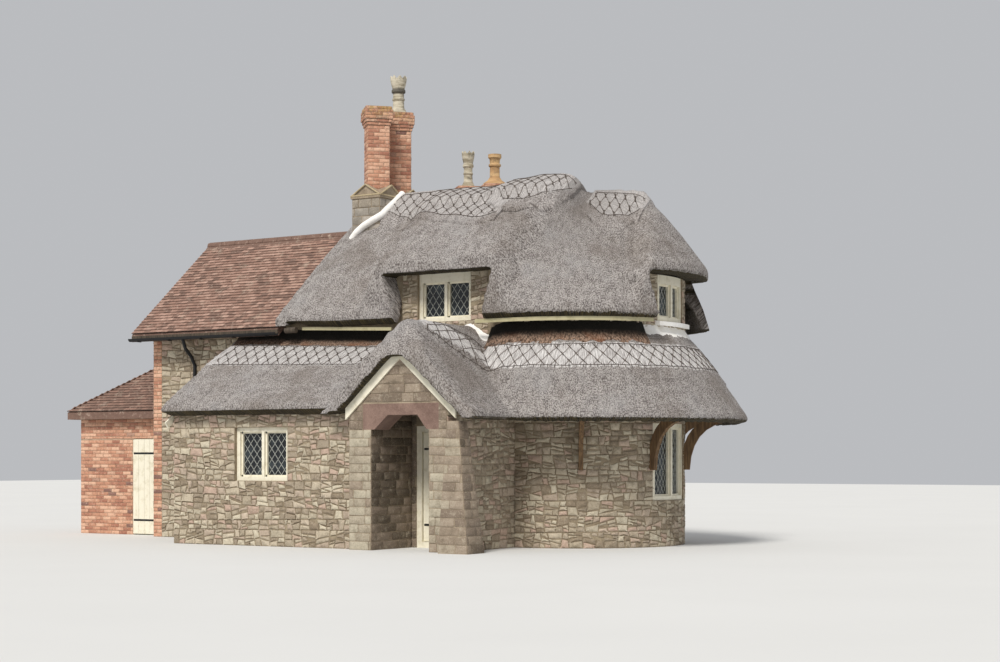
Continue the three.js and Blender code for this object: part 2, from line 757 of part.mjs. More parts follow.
const [lintelFoot, lintelUnder, lintelTop] = LINTEL.z;
const [lintelLeft, lintelRight] = LINTEL.ends;
const porchFace = [PORCH.front, PORCH.faceBack];
const lintel = alongY(
  [
    [lintelLeft, lintelFoot],
    [LINTEL.throat[0], lintelFoot],
    [LINTEL.flat[0], lintelUnder],
    [LINTEL.flat[1], lintelUnder],
    [LINTEL.throat[1], lintelFoot],
    [lintelRight, lintelFoot],
    [lintelRight, lintelTop],
    [lintelLeft, lintelTop],
  ],
  ...porchFace,
);
place("porch_lintel", lintel, "lintel");
const [innerLeft, innerRight] = PORCH.inner;
const leftPier = union([
  box(PORCH.left, innerLeft, ...porchFace, 0, lintelFoot),
  box(PORCH.left, lintelLeft, ...porchFace, lintelFoot, lintelTop),
  box(PORCH.left, innerLeft, PORCH.faceBack, insidePorch, 0, SKY),
]);
place("porch_left_pier", leftPier.intersect(lowerRoom), "stone");
const rightPier = union([
  box(innerRight, PORCH.right, ...porchFace, 0, lintelFoot),
  box(lintelRight, PORCH.right, ...porchFace, lintelFoot, SKY),
  box(innerRight, PORCH.right, PORCH.faceBack, 0, 0, SKY),
]);
place("porch_right_pier", rightPier.intersect(lowerRoom), "stone");
const gable = box(PORCH.left, lintelRight, ...porchFace, lintelTop, SKY);
place("porch_gable", gable.intersect(lowerRoom), "stone");
const recess = [PORCH_WALL.y, insidePorch];
const doorFrameLeft = FRONT_DOOR.x[0] - DOOR_FRAME - CLEAR;
const doorFrameTop = FRONT_DOOR.z[1] + DOOR_FRAME + CLEAR;
place(
  "porch_back_wall",
  box(innerLeft, doorFrameLeft, ...recess, 0, SKY).intersect(lowerRoom),
  "stone",
);
place(
  "porch_wall_over_door",
  box(doorFrameLeft, innerRight, ...recess, doorFrameTop, SKY).intersect(lowerRoom),
  "stone",
);
const { left: buttressLeft, back: buttressBack } = BUTTRESS;
const buttressPoints = [0, 1].flatMap((i) => {
  const z = i === 0 ? BUTTRESS.top : 0;
  return [
    new THREE.Vector3(buttressLeft, buttressBack, z),
    new THREE.Vector3(BUTTRESS.right[i], buttressBack, z),
    new THREE.Vector3(buttressLeft, BUTTRESS.front[i], z),
    new THREE.Vector3(BUTTRESS.right[i], BUTTRESS.front[i], z),
  ];
});
const buttress = new ConvexGeometry(buttressPoints);
place("porch_buttress", solid(buttress), "stone");

const [bargeLeft, bargeRight] = [PORCH_AXIS - BARGE.foot, PORCH_AXIS + BARGE.foot];
const bargeTop = (x) => PORCH_ROOF.under - PORCH_ROOF.underSlope * Math.abs(x - PORCH_AXIS) - GAP;
const bargeDrop = BARGE.deep / Math.cos(Math.atan(PORCH_ROOF.underSlope));
const barge = alongY(
  [
    [bargeLeft, bargeTop(bargeLeft) - bargeDrop],
    [PORCH_AXIS, bargeTop(PORCH_AXIS) - bargeDrop],
    [bargeRight, bargeTop(bargeRight) - bargeDrop],
    [bargeRight, bargeTop(bargeRight)],
    [PORCH_AXIS, bargeTop(PORCH_AXIS)],
    [bargeLeft, bargeTop(bargeLeft)],
  ],
  hoodBack,
  PORCH.front,
);
place("porch_bargeboards", barge.intersect(lowerRoom), "cream");

// Doors: a leaf flush with one face of its frame, hung on pins that stand on plates beside it.
// side is 1 where it opens towards the back and -1 where it opens towards the front.

function upright(x, y, radius, z0, z1) {
  const geometry = new THREE.CylinderGeometry(radius, radius, z1 - z0, 12);
  return solid(geometry.rotateX(Math.PI / 2).translate(x, y, (z0 + z1) / 2));
}

function slab(x0, x1, ya, yb, z0, z1) {
  return box(x0, x1, Math.min(ya, yb), Math.max(ya, yb), z0, z1);
}

function hungDoor(door, face, side) {
  const pinX = door.x[0] - CLEAR / 2;
  const pinY = face + side * HINGE.off;
  const leaf = [slab(...door.x, face, face - side * door.thick, ...door.z)];
  const fixed = [];
  for (const height of HINGE.heights) {
    const z = [height, height + HINGE.tall];
    const lower = [height - HINGE.tall, height - GAP];
    leaf.push(slab(pinX, pinX + HINGE.strap, face - side, face + side * HINGE.thick, ...z));
    leaf.push(upright(pinX, pinY, HINGE.pin, ...z));
    fixed.push(slab(pinX - HINGE.plate, pinX, face, face + side * HINGE.thick, ...lower));
    fixed.push(upright(pinX, pinY, HINGE.pin, ...lower));
  }
  return { leaf: union(leaf), fixed: union(fixed) };
}

const frameY = [PORCH_WALL.y + 10, PORCH_WALL.y + 110];
const frontFrame = box(doorFrameLeft, innerRight, ...frameY, 0, doorFrameTop).subtract(
  box(
    FRONT_DOOR.x[0] - CLEAR,
    FRONT_DOOR.x[1] + CLEAR,
    frameY[0] - 10,
    frameY[1] + 10,
    FRONT_DOOR.z[0] - CLEAR,
    FRONT_DOOR.z[1] + CLEAR,
  ),
);
const frontHung = hungDoor(FRONT_DOOR, frameY[1], 1);
place("front_door_frame", frontFrame.add(frontHung.fixed), "cream");
place("front_door", frontHung.leaf, "cream");

// Outbuilding

function shedHull(drop, grow) {
  const x0 = SHED.left - SHED.reach - grow;
  const x1 = LEFT - GAP + grow;
  const y0 = SHED.front - SHED.reach - grow;
  const y1 = SHED.back + SHED.reach + grow;
  const points = [];
  for (const x of [x0, x1])
    for (const y of [y0, y1])
      for (const z of [SHED.eave - SHED.roof, SHED.eave]) points.push(new THREE.Vector3(x, y, z - drop));
  const peak = SHED_RIDGE.z - drop;
  points.push(new THREE.Vector3(SHED_RIDGE.hip, MIDDLE, peak), new THREE.Vector3(x1, MIDDLE, peak));
  return solid(new ConvexGeometry(points));
}

const shedUnder = shedHull(SHED.roof, 0);
const shedRoof = shedHull(0, 0).subtract(shedUnder).subtract(
  box(SHED.left - SKY, LEFT + 10, -SKY, SKY, SHED.eave - 2 * SHED.roof, SHED.eave - SHED.roof),
);
place("outbuilding_roof", shedRoof, "tile");
const shedBase = box(SHED.left - 500, LEFT + 10, 0, DEPTH, DEEP, SHED.eave - SHED.roof - 50);
const shedRoom = shedUnder.add(shedBase).translate([0, 0, -GAP]);
const shedWall = (...sizes) => box(...sizes).intersect(shedRoom);
const shedFace = [SHED.front, SHED.front + SHED.wall];
const shedHung = hungDoor(SHED_DOOR, SHED.front, -1);
const shedFront = shedWall(SHED.left, SHED_DOOR.x[0] - CLEAR, ...shedFace, 0, SKY);
place("outbuilding_front_wall", shedFront.add(shedHung.fixed), "brick");
place(
  "outbuilding_wall_over_door",
  shedWall(SHED_DOOR.x[0] - CLEAR, LEFT, ...shedFace, SHED_DOOR.z[1] + CLEAR, SKY),
  "brick",
);
place(
  "outbuilding_door_pier",
  shedWall(SHED_DOOR.x[1] + CLEAR, LEFT, ...shedFace, 0, SHED_DOOR.z[1] + CLEAR),
  "brick",
);
place(
  "outbuilding_left_wall",
  shedWall(SHED.left, SHED.left + SHED.wall, shedFace[1], SHED.back - SHED.wall, 0, SKY),
  "brick",
);
place("outbuilding_back_wall", shedWall(SHED.left, LEFT, SHED.back - SHED.wall, SHED.back, 0, SKY), "brick");
place("outbuilding_door", shedHung.leaf, "cream");

// Chimneys: square bases that end in gablets, and shafts set cornerwise on them

function gablets(x0, x1, y0, y1, foot, peak) {
  const mx = (x0 + x1) / 2;
  const my = (y0 + y1) / 2;
  const one = alongX([[y0, foot - 50], [y1, foot - 50], [y1, foot], [my, peak], [y0, foot]], x0, x1);
  const two = alongY([[x0, foot - 50], [x1, foot - 50], [x1, foot], [mx, peak], [x0, foot]], y0, y1);
  return one.add(two);
}

function diamond(x, y, side, z0, z1) {
  const geometry = new THREE.BoxGeometry(side, side, z1 - z0);
  geometry.rotateZ(Math.PI / 4);
  return solid(geometry.translate(x, y, (z0 + z1) / 2));
}

function shaft(x, y, z0, capFrom, top) {
  const parts = [diamond(x, y, SHAFT.side, z0, top)];
  const tall = top - capFrom;
  for (const [added, from, to] of CAP_COURSES) {
    parts.push(diamond(x, y, SHAFT.side + added, capFrom + from * tall, capFrom + to * tall));
  }
  return union(parts);
}

function stackBase(at) {
  const { x, y, top, peak } = at;
  const long = y[1] - y[0] > x[1] - x[0];
  const my = (y[0] + y[1]) / 2;
  const mx = (x[0] + x[1]) / 2;
  const body = box(...x, ...y, at.foot, top - 30);
  const { proud, tall } = COURSE;
  const course = box(x[0] - proud, x[1] + proud, y[0] - proud, y[1] + proud, top - tall, top);
  const heads = long
    ? [gablets(...x, y[0], my, top, peak), gablets(...x, my, y[1], top, peak)]
    : [gablets(x[0], mx, ...y, top, peak), gablets(mx, x[1], ...y, top, peak)];
  return union([body, course, ...heads]);
}

const [sx, sy] = [(STACK.x[0] + STACK.x[1]) / 2, (STACK.y[0] + STACK.y[1]) / 2];
const quarter = (STACK.y[1] - STACK.y[0]) / 4;
const frontShafts = [sy - quarter, sy + quarter].map((y) =>
  shaft(sx, y, STACK.top, SHAFT.capFrom, SHAFT.top),
);
const frontBase = stackBase({ ...STACK, foot: FLOOR_TOP });
place("front_chimney_shafts", union(frontShafts).subtract(frontBase.translate([0, 0, GAP])), "brick");
place("front_chimney_base", frontBase, "stone");

const [rx, ry] = [(REAR_STACK.x[0] + REAR_STACK.x[1]) / 2, (REAR_STACK.y[0] + REAR_STACK.y[1]) / 2];
const rearQuarter = (REAR_STACK.x[1] - REAR_STACK.x[0]) / 4;
const rearShafts = [rx - rearQuarter, rx + rearQuarter].map((x) =>
  shaft(x, ry, REAR_STACK.top, REAR_SHAFT.capFrom, REAR_SHAFT.top),
);
place("rear_chimney", union([stackBase({ ...REAR_STACK, foot: 0 }), ...rearShafts]), "brick");

// Chimney pots, turned

function pot(profile, scale, x, y, z) {
  const points = profile.map(([r, h]) => new THREE.Vector2(r * scale, h * scale));
  const geometry = new THREE.LatheGeometry(points, 12);
  return solid(geometry.rotateX(Math.PI / 2).translate(x, y, z));
}

// Notches cut across the rim leave the points of the crown
function crownPot(scale, x, y, z) {
  const wide = CROWN_NOTCH.wide * scale;
  const top = Math.max(...CROWN_POT.map(([, h]) => h)) * scale;
  const foot = top - CROWN_NOTCH.deep * scale;
  const notch = alongX([[0, foot], [wide, top + 1], [-wide, top + 1]], -300, 300);
  const notches = [15, 75, 135].map((angle) => notch.rotate([0, 0, angle]).translate([x, y, z]));
  return pot(CROWN_POT, scale, x, y, z).subtract(union(notches));
}

const [potTop, rearPotTop] = [SHAFT.top, REAR_SHAFT.top];
place("front_chimney_pot", crownPot(1, sx, sy + quarter, potTop), "pot");
place("rear_chimney_crown_pot", crownPot(SMALL_CROWN, rx - rearQuarter, ry, rearPotTop), "pot");
place("rear_chimney_buff_pot", pot(BUFF_POT, 1, rx + rearQuarter, ry, rearPotTop), "buff");

// Brackets and the eaves plate that they carry, under the skirt of thatch

function bracket(angle) {
  const { wide, deep, foot, rise, reach, head } = BRACKET;
  const [under, top] = BRACKET.z;
  const bend = (foot + 4 * top) / 5;
  const shape = new THREE.Shape();
  shape.moveTo(ROUND + 0.5, foot);
  shape.lineTo(ROUND + deep, foot);
  shape.quadraticCurveTo(ROUND + deep + 30, bend - 50, ROUND + reach, under);
  shape.lineTo(ROUND + reach, top);
  shape.lineTo(ROUND + reach - head, top);
  shape.quadraticCurveTo(ROUND + 30, bend, ROUND + 0.5, foot + rise);
  const geometry = extrude(shape, wide, 6);
  geometry.translate(0, 0, -wide / 2).rotateX(Math.PI / 2).rotateZ(radians(angle));
  return solid(geometry.translate(BEND, MIDDLE, 0));
}

const plate = ring(ROUND + EAVES_PLATE.from, ROUND + EAVES_PLATE.to, -90, 90, ...EAVES_PLATE.z);
const brackets = union([plate, ...BRACKET_ANGLES.map(bracket)]).subtract(mainBody).intersect(lowerRoom);
place("skirt_brackets", brackets, "timber");

// Windows: a frame with two lights, and a sheet of glass behind it

function flatWindow(a, z, shapeOf, head = 0) {
  const whole = shapeOf(a[0], a[1], z[0], z[1], 0, FRAME_DEPTH);
  const middle = (a[0] + a[1]) / 2;
  const lightZ = [z[0] + FRAME, z[1] - FRAME - head];
  const lights = [
    shapeOf(a[0] + FRAME, middle - MULLION / 2, ...lightZ, -10, FRAME_DEPTH + 10),
    shapeOf(middle + MULLION / 2, a[1] - FRAME, ...lightZ, -10, FRAME_DEPTH + 10),
  ];
  const glass = shapeOf(
    a[0] + FRAME / 2,
    a[1] - FRAME / 2,
    z[0] + FRAME / 2,
    z[1] - FRAME / 2,
    FRAME_DEPTH,
    FRAME_DEPTH + GLASS,
  );
  return { frame: whole.subtract(lights[0]).subtract(lights[1]), glass };
}

function frontFacing(face) {
  return (x0, x1, z0, z1, d0, d1) => box(x0, x1, face + d0, face + d1, z0, z1);
}
function backFacing(face) {
  return (x0, x1, z0, z1, d0, d1) => box(x0, x1, face - d1, face - d0, z0, z1);
}
function leftFacing(face) {
  return (y0, y1, z0, z1, d0, d1) => box(face + d0, face + d1, y0, y1, z0, z1);
}

function placeWindow(name, made) {
  place(name + "_window", made.frame, "cream");
  place(name + "_glass", made.glass, "glass");
}

placeWindow("dormer", flatWindow(DORMER_WINDOW.x, DORMER_WINDOW.z, frontFacing(REVEAL), HEAD_BOARD));
const backDormer = flatWindow(DORMER_WINDOW.x, DORMER_WINDOW.z, backFacing(DEPTH - REVEAL), HEAD_BOARD);
placeWindow("rear_dormer", backDormer);
placeWindow("lean_to", flatWindow(LEAN_WINDOW.x, LEAN_WINDOW.z, frontFacing(LEAN.front + REVEAL)));
placeWindow("rear", flatWindow(BACK_WINDOW.x, BACK_WINDOW.z, backFacing(DEPTH - REVEAL)));
placeWindow("gable", flatWindow(GABLE_WINDOW.y, GABLE_WINDOW.z, leftFacing(LEFT + REVEAL)));

function roundWindow(half, z, head = 0) {
  const outer = ROUND - 20;
  const inner = outer - FRAME_DEPTH;
  const edge = THREE.MathUtils.radToDeg(FRAME / ROUND);
  const mid = THREE.MathUtils.radToDeg(MULLION / 2 / ROUND);
  const hole = (a, b) => ring(inner - 50, outer + 50, a, b, z[0] + FRAME, z[1] - FRAME - head);
  const side = 0.02; // degrees kept clear of the wall's cut face
  const frame = ring(inner, outer, -half + side, half - side, z[0], z[1])
    .subtract(hole(-half + edge, -mid))
    .subtract(hole(mid, half - edge));
  const pane = half - edge / 2;
  const glass = ring(inner - GLASS - 1, inner - 1, -pane, pane, z[0] + 20, z[1] - 20);
  return { frame, glass };
}

placeWindow("round_end_lower", roundWindow(END_LOWER.half, END_LOWER.z));
placeWindow("round_end_upper", roundWindow(END_UPPER.half, END_UPPER.z, HEAD_BOARD));

// Gutter and downpipe

function gutter() {
  const shape = new THREE.Shape();
  shape.absarc(GUTTER.y, GUTTER.z, GUTTER.radius, Math.PI, 2 * Math.PI, false);
  shape.lineTo(GUTTER.y + GUTTER.radius - 8, GUTTER.z);
  shape.absarc(GUTTER.y, GUTTER.z, GUTTER.radius - 8, 2 * Math.PI, Math.PI, true);
  const geometry = extrude(shape, WING_END - GAP - TILE_VERGE, 8);
  const turn = new THREE.Matrix4().makeBasis(
    new THREE.Vector3(0, 1, 0),
    new THREE.Vector3(0, 0, 1),
    new THREE.Vector3(1, 0, 0),
  );
  return solid(geometry.applyMatrix4(turn).translate(TILE_VERGE, 0, 0));
}
const pipeY = -GUTTER.pipe - 14;
const clip = (z) => box(GUTTER.x - 50, GUTTER.x + 50, pipeY, -GAP, z, z + 40);
function downpipe() {
  const path = new THREE.CatmullRomCurve3(
    [
      [GUTTER.y, GUTTER.z - GUTTER.radius + 12],
      [GUTTER.y, GUTTER.z - 140],
      [-140, GUTTER.z - 400],
      [pipeY, GUTTER.z - 520],
      [pipeY, GUTTER.z - 700],
      [pipeY, 1800],
      [pipeY, 120],
    ].map(([y, z]) => new THREE.Vector3(GUTTER.x, y, z)),
    false,
    "centripetal",
  );
  const round = new THREE.Shape();
  round.absarc(0, 0, GUTTER.pipe, 0, 2 * Math.PI, false);
  return solid(new THREE.ExtrudeGeometry(round, { steps: 18, extrudePath: path, curveSegments: 4 }));
}
place("gutter_and_downpipe", union([gutter(), downpipe(), clip(3200), clip(1700), clip(300)]), "iron");

// The origin is on the ground at the middle of the whole plan
const bounds = new THREE.Box3().setFromObject(cottage);
const centre = bounds.getCenter(new THREE.Vector3());
cottage.position.set(-centre.x, -centre.y, -bounds.min.z);

export default cottage;
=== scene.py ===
"""Thatched cottage: straw, stones, tiles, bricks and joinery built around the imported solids."""

import json
import math
import random

import bmesh
import bpy
from bpy.props import FloatProperty, FloatVectorProperty, PointerProperty
from mathutils import Matrix, Vector, noise
from mathutils.bvhtree import BVHTree


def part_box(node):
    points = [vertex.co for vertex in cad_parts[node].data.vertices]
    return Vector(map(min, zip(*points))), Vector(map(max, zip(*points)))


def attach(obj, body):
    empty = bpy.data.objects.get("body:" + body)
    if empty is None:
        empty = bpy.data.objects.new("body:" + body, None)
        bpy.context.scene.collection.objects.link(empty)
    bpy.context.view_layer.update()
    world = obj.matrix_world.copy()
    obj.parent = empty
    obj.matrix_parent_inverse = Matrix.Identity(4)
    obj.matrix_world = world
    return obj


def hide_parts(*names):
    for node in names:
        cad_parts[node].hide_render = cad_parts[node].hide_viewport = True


bl_info = {
    "name": "Thatched cottage",
    "version": (1, 0, 0),
    "blender": (4, 5, 0),
    "location": "3D View > Sidebar > Cottage",
    "description": "Dresses the solids of a thatched stone cottage",
    "category": "Add Mesh",
}

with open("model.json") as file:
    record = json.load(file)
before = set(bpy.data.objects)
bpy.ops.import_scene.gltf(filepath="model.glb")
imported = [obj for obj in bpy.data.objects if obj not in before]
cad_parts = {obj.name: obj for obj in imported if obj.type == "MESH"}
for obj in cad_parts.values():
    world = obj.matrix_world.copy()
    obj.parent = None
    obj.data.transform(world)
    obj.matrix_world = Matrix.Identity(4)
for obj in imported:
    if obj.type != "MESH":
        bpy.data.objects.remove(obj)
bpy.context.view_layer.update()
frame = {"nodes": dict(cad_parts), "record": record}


# The house frame: x runs along the front, y goes back from the front wall's face and z goes up.
# The round end begins at x = BEND, and MIDDLE is its centre and the line under the ridge.

BEND = 0.42
HOUSE = Vector((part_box("front_wall_right")[1].x - BEND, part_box("front_wall_right")[0].y, 0))


def span(node):
    """Lowest and highest corner of a solid in the house frame."""
    low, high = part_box(node)
    return low - HOUSE, high - HOUSE


DEPTH = span("back_wall_left")[1].y
MIDDLE = DEPTH / 2
ROUND = DEPTH / 2
LEFT = span("left_gable_wall")[0].x
EAVE_REACH = MIDDLE - span("upper_thatch")[0].y
SKIRT_REACH = span("skirt_thatch")[1].x - BEND - ROUND
LEAN_LEFT, LEAN_FRONT = span("lean_to_front_wall")[0].xy
PORCH_LEFT, PORCH_FRONT = span("porch_left_pier")[0].xy
PORCH_RIGHT = span("porch_right_pier")[1].x
PORCH_AXIS = span("porch_bargeboards")[0].x / 2 + span("porch_bargeboards")[1].x / 2
# Top of the wing's walls, and width of the brick corner at their left end
WING_TOP = 4.25
QUOIN = 0.23
# The rear stack's lowest and highest corner
STACK_LOW = Vector((-3.59, 3.65, 0))
STACK_HIGH = Vector((-2.27, 4.27, 6.23))
# Front, back and height of the outbuilding's walls
SHED_FRONT, SHED_BACK, SHED_TOP = 0.5, 3.6, 2.45
# Half the angle that the round end's windows take up
LOWER_HALF, UPPER_HALF = 17.5, 14
# Directions
RIGHT, LEFTWARDS = (1, 0, 0), (-1, 0, 0)
FORWARDS, BACK = (0, -1, 0), (0, 1, 0)
UP = Vector((0, 0, 1))
DOWN = Vector((0, 0, -1))
# Higher than every roof, to look down from
SKY = 12


# Finishes

def paint(red, green, blue):
    """A colour seen as 0 to 255 on a screen, in the linear values that shaders take."""
    def linear(value):
        value /= 255
        return value / 12.92 if value <= 0.04045 else ((value + 0.055) / 1.055) ** 2.4
    return (linear(red), linear(green), linear(blue), 1.0)


class Value:
    """A shader output that can be added, multiplied and mapped."""

    def __init__(self, finish, socket):
        self.finish = finish
        self.socket = socket

    def __add__(self, other):
        return self.finish.node("ShaderNodeMath", {"operation": "ADD"}, {0: self, 1: other})

    def __mul__(self, other):
        return self.finish.node("ShaderNodeMath", {"operation": "MULTIPLY"}, {0: self, 1: other})

    def between(self, low, high):
        """0 at low, 1 at high and smooth between them. High may lie below low."""
        settings = {"interpolation_type": "SMOOTHSTEP"}
        sockets = {"Value": self, "From Min": low, "From Max": high}
        return self.finish.node("ShaderNodeMapRange", settings, sockets)


class Finish:
    """A procedural material in the making: a first colour, what is laid over it, and relief."""

    def __init__(self, name, colour, **constants):
        self.material = bpy.data.materials.new(name)
        self.material.use_nodes = True
        self.tree = self.material.node_tree
        self.shader = self.tree.nodes["Principled BSDF"]
        self.colour = paint(*colour)
        for key, value in constants.items():
            self.set(key, value)

    def plug(self, value, socket):
        if isinstance(value, Value):
            self.tree.links.new(value.socket, socket)
        else:
            socket.default_value = value

    def set(self, socket, value):
        self.plug(value, self.shader.inputs[socket])

    def node(self, kind, settings, sockets, output=0):
        """Adds a node with its settings first and then its sockets, and returns one output."""
        made = self.tree.nodes.new(kind)
        for key, value in settings.items():
            setattr(made, key, value)
        for key, value in sockets.items():
            self.plug(value, made.inputs[key])
        return Value(self, made.outputs[output])

    def attribute(self, name):
        return self.node("ShaderNodeAttribute", {"attribute_name": name}, {}, "Fac")

    def place(self, stretch=(1, 1, 1), uv=None):
        """Object coordinates, or a UV map, scaled along each axis."""
        if uv:
            source = self.node("ShaderNodeUVMap", {"uv_map": uv}, {})
        else:
            source = self.node("ShaderNodeTexCoord", {}, {}, "Object")
        return self.node("ShaderNodeMapping", {}, {"Vector": source, "Scale": stretch})

    def height(self):
        """Height above the ground."""
        return self.node("ShaderNodeSeparateXYZ", {}, {"Vector": self.place()}, "Z")

    def noise(self, scale, detail=3.0, rough=0.55, at=None):
        sockets = {"Vector": at or self.place(), "Scale": scale, "Detail": detail, "Roughness": rough}
        return self.node("ShaderNodeTexNoise", {}, sockets)

    def mix(self, factor, first, second):
        settings = {"data_type": "RGBA", "clamp_factor": True}
        return self.node("ShaderNodeMix", settings, {0: factor, 6: first, 7: second}, 2)

    def lay(self, factor, colour):
        """Lays a colour, or a mixture of two, over the ones so far."""
        over = colour if isinstance(colour, Value) else paint(*colour)
        self.colour = self.mix(factor, self.colour, over)

    def stain(self, value, low, high, amount, colour):
        """Lays an amount of a colour where value is high, and none where it is low."""
        self.lay(value.between(low, high) * amount, colour)

    def done(self, relief, depth):
        """Sets the colour, and relief of 0 to 1 that stands for depth in metres."""
        self.set("Base Color", self.colour)
        sockets = {"Height": relief, "Distance": depth, "Strength": 1.0}
        self.set("Normal", self.node("ShaderNodeBump", {}, sockets))
        return self.material


def straw_finish(name, light, dark):
    """Weathered straw: a felt of straw ends, painted dark underneath as shade, and streaked and pale where
    it is dressed.
    """
    finish = Finish(name, dark, Roughness=0.95)
    ends = finish.noise(1.0, 3, 0.8, finish.place((42, 32, 1), "straw"))
    tufts = finish.noise(1.0, 4, 0.65, finish.place((8, 5, 1), "straw"))
    streaks = finish.noise(1.0, 3, 0.65, finish.place((75, 4, 1), "straw"))
    patches = finish.noise(0.9, 4, 0.6)
    finish.lay((ends * 0.78 + tufts * 0.22).between(0.4, 0.6), light)
    finish.stain(patches, 0.48, 0.66, 0.42, (118, 106, 95))
    finish.stain(patches, 0.46, 0.3, 0.3, (184, 182, 182))
    pale = finish.mix(streaks.between(0.36, 0.6), paint(160, 153, 151), paint(252, 249, 247))
    finish.lay(finish.attribute("dressed") * 0.95, pale)
    # Painted shade: straw that the under attribute marks as facing downwards is painted dark olive-brown to
    # almost black
    painted_underside_shade = finish.mix(streaks.between(0.4, 0.65), paint(30, 26, 15), paint(86, 74, 44))
    finish.lay(finish.attribute("under"), painted_underside_shade)
    return finish.done(ends * 0.9 + tufts * 0.5 + streaks * 0.2, 0.05)


def thatch_finish(name, dark):
    """The straw whose colour is a setting."""
    straw = [255 * value for value in bpy.context.scene.cottage_thatch.straw]
    return straw_finish(name, straw, dark)


def packing_finish(name):
    """Brown straw packed against a wall, its dark brown partly painted shade, and painted almost black as
    shade next to the wall, under the eave.
    """
    finish = Finish(name, (58, 42, 30), Roughness=0.95)
    streaks = finish.noise(1.0, 4, 0.7, finish.place((34, 34, 5)))
    finish.stain(streaks, 0.36, 0.66, 1, (166, 138, 118))
    finish.stain(finish.noise(2.5, 3, 0.6), 0.45, 0.65, 0.5, (124, 74, 44))
    # Painted shade: almost black where the deep attribute marks straw next to the wall, under the eave
    finish.lay(finish.attribute("deep"), (24, 20, 12))
    return finish.done(streaks, 0.03)


def stone_finish(name, colours, grime=(104, 92, 74), grimy=0.45):
    """Stones of several colours, chosen by each face's tone, with stains and lichen."""
    finish = Finish(name, colours[0], Roughness=0.92)
    tone = finish.attribute("tone")
    mottle = finish.noise(7, 6, 0.7)
    grit = finish.noise(40, 4, 0.7)
    for i, colour in enumerate(colours[1:], 1):
        step = i / len(colours)
        finish.stain(tone, step - 0.03, step + 0.03, 1, colour)
    finish.stain(mottle, 0.46, 0.68, grimy, grime)
    finish.stain(mottle, 0.46, 0.3, 0.35, (206, 196, 176))
    finish.stain(grit, 0.52, 0.7, 0.3, (216, 206, 188))
    finish.stain(grit, 0.46, 0.34, 0.35, (96, 84, 70))
    finish.stain(finish.noise(5, 6, 0.75), 0.6, 0.66, 0.2, (200, 194, 168))
    return finish.done(mottle * 0.6 + grit * 0.5, 0.02)


def mortar_finish(name, light, dark):
    """Mortar, or stone of one colour: pale in patches, and gritty."""
    finish = Finish(name, dark, Roughness=0.95)
    coarse = finish.noise(4, 5, 0.6)
    grit = finish.noise(60, 3, 0.7)
    finish.stain(coarse * 0.6 + grit * 0.5, 0.35, 0.75, 1, light)
    return finish.done(coarse * 0.5 + grit * 0.6, 0.012)


def tile_finish(name):
    """Old clay tiles: each its own red or brown, with painted shade on its lower end, and with soot,
    bleaching and lichen.
    """
    finish = Finish(name, (118, 92, 80), Roughness=0.85)
    tone = finish.attribute("tone")
    mottle = finish.noise(12, 6, 0.75)
    finish.stain(tone, 0.0, 0.5, 1, (150, 116, 101))
    finish.stain(tone, 0.5, 1.0, 1, (176, 142, 126))
    # Painted shade on each tile's butt, whose tone is -1
    finish.stain(tone, -0.1, -0.9, 1, (66, 50, 43))
    finish.stain(mottle, 0.48, 0.66, 0.45, (98, 78, 68))
    finish.stain(mottle, 0.46, 0.32, 0.5, (206, 184, 168))
    finish.stain(finish.noise(3.5, 7, 0.8), 0.56, 0.64, 0.4, (186, 172, 154))
    return finish.done(mottle, 0.012)


def brick_finish(name, top=None):
    """Soft red and orange bricks with lichen, and with crust and soot up to a top if one is given."""
    finish = Finish(name, (170, 116, 94), Roughness=0.9)
    tone = finish.attribute("tone")
    mottle = finish.noise(16, 6, 0.75)
    lichen = finish.noise(6, 7, 0.8)
    finish.stain(tone, 0.0, 0.4, 1, (200, 148, 120))
    finish.stain(tone, 0.45, 0.8, 1, (220, 176, 148))
    finish.stain(tone, 0.93, 0.98, 1, (132, 98, 88))
    finish.stain(mottle, 0.48, 0.66, 0.5, (122, 86, 74))
    finish.stain(mottle, 0.46, 0.32, 0.5, (224, 202, 182))
    finish.stain(lichen, 0.58, 0.66, 0.45, (190, 176, 146))
    if top is not None:
        height = finish.height()
        finish.stain(lichen, 0.44, 0.56, height.between(top - 0.32, top) * 0.7, (178, 150, 84))
        finish.stain(mottle, 0.46, 0.6, height.between(top - 0.5, top) * 0.5, (84, 72, 64))
    return finish.done(mottle, 0.01)


def paint_finish(name, coat, worn):
    """Oil paint on wood, a little dirty, with a faint grain."""
    finish = Finish(name, coat)
    grime = finish.noise(7, 5, 0.65)
    finish.stain(grime, 0.45, 0.75, 0.6, worn)
    finish.set("Roughness", grime * 0.3 + 0.4)
    return finish.done(finish.noise(1.0, 3, 0.6, finish.place((60, 60, 5))), 0.002)


def wood_finish(name, light, dark):
    finish = Finish(name, dark, Roughness=0.8)
    rings = finish.noise(1.0, 4, 0.65, finish.place((28, 28, 3)))
    finish.stain(rings, 0.3, 0.7, 1, light)
    return finish.done(rings, 0.006)


def glass_finish(name):
    """Old glass in front of a dark room, with a pale reflection here and there."""
    finish = Finish(name, (26, 30, 33), Roughness=0.06)
    finish.stain(finish.noise(2.2, 3, 0.5), 0.5, 0.75, 1, (70, 80, 84))
    return finish.done(finish.noise(8, 1, 0.4), 0.003)


def metal_finish(name, colour, worn, roughness):
    finish = Finish(name, colour, Metallic=0.3)
    wear = finish.noise(20, 5, 0.7)
    finish.stain(wear, 0.55, 0.75, 1, worn)
    finish.set("Roughness", wear * 0.3 + roughness)
    return finish.done(wear, 0.002)


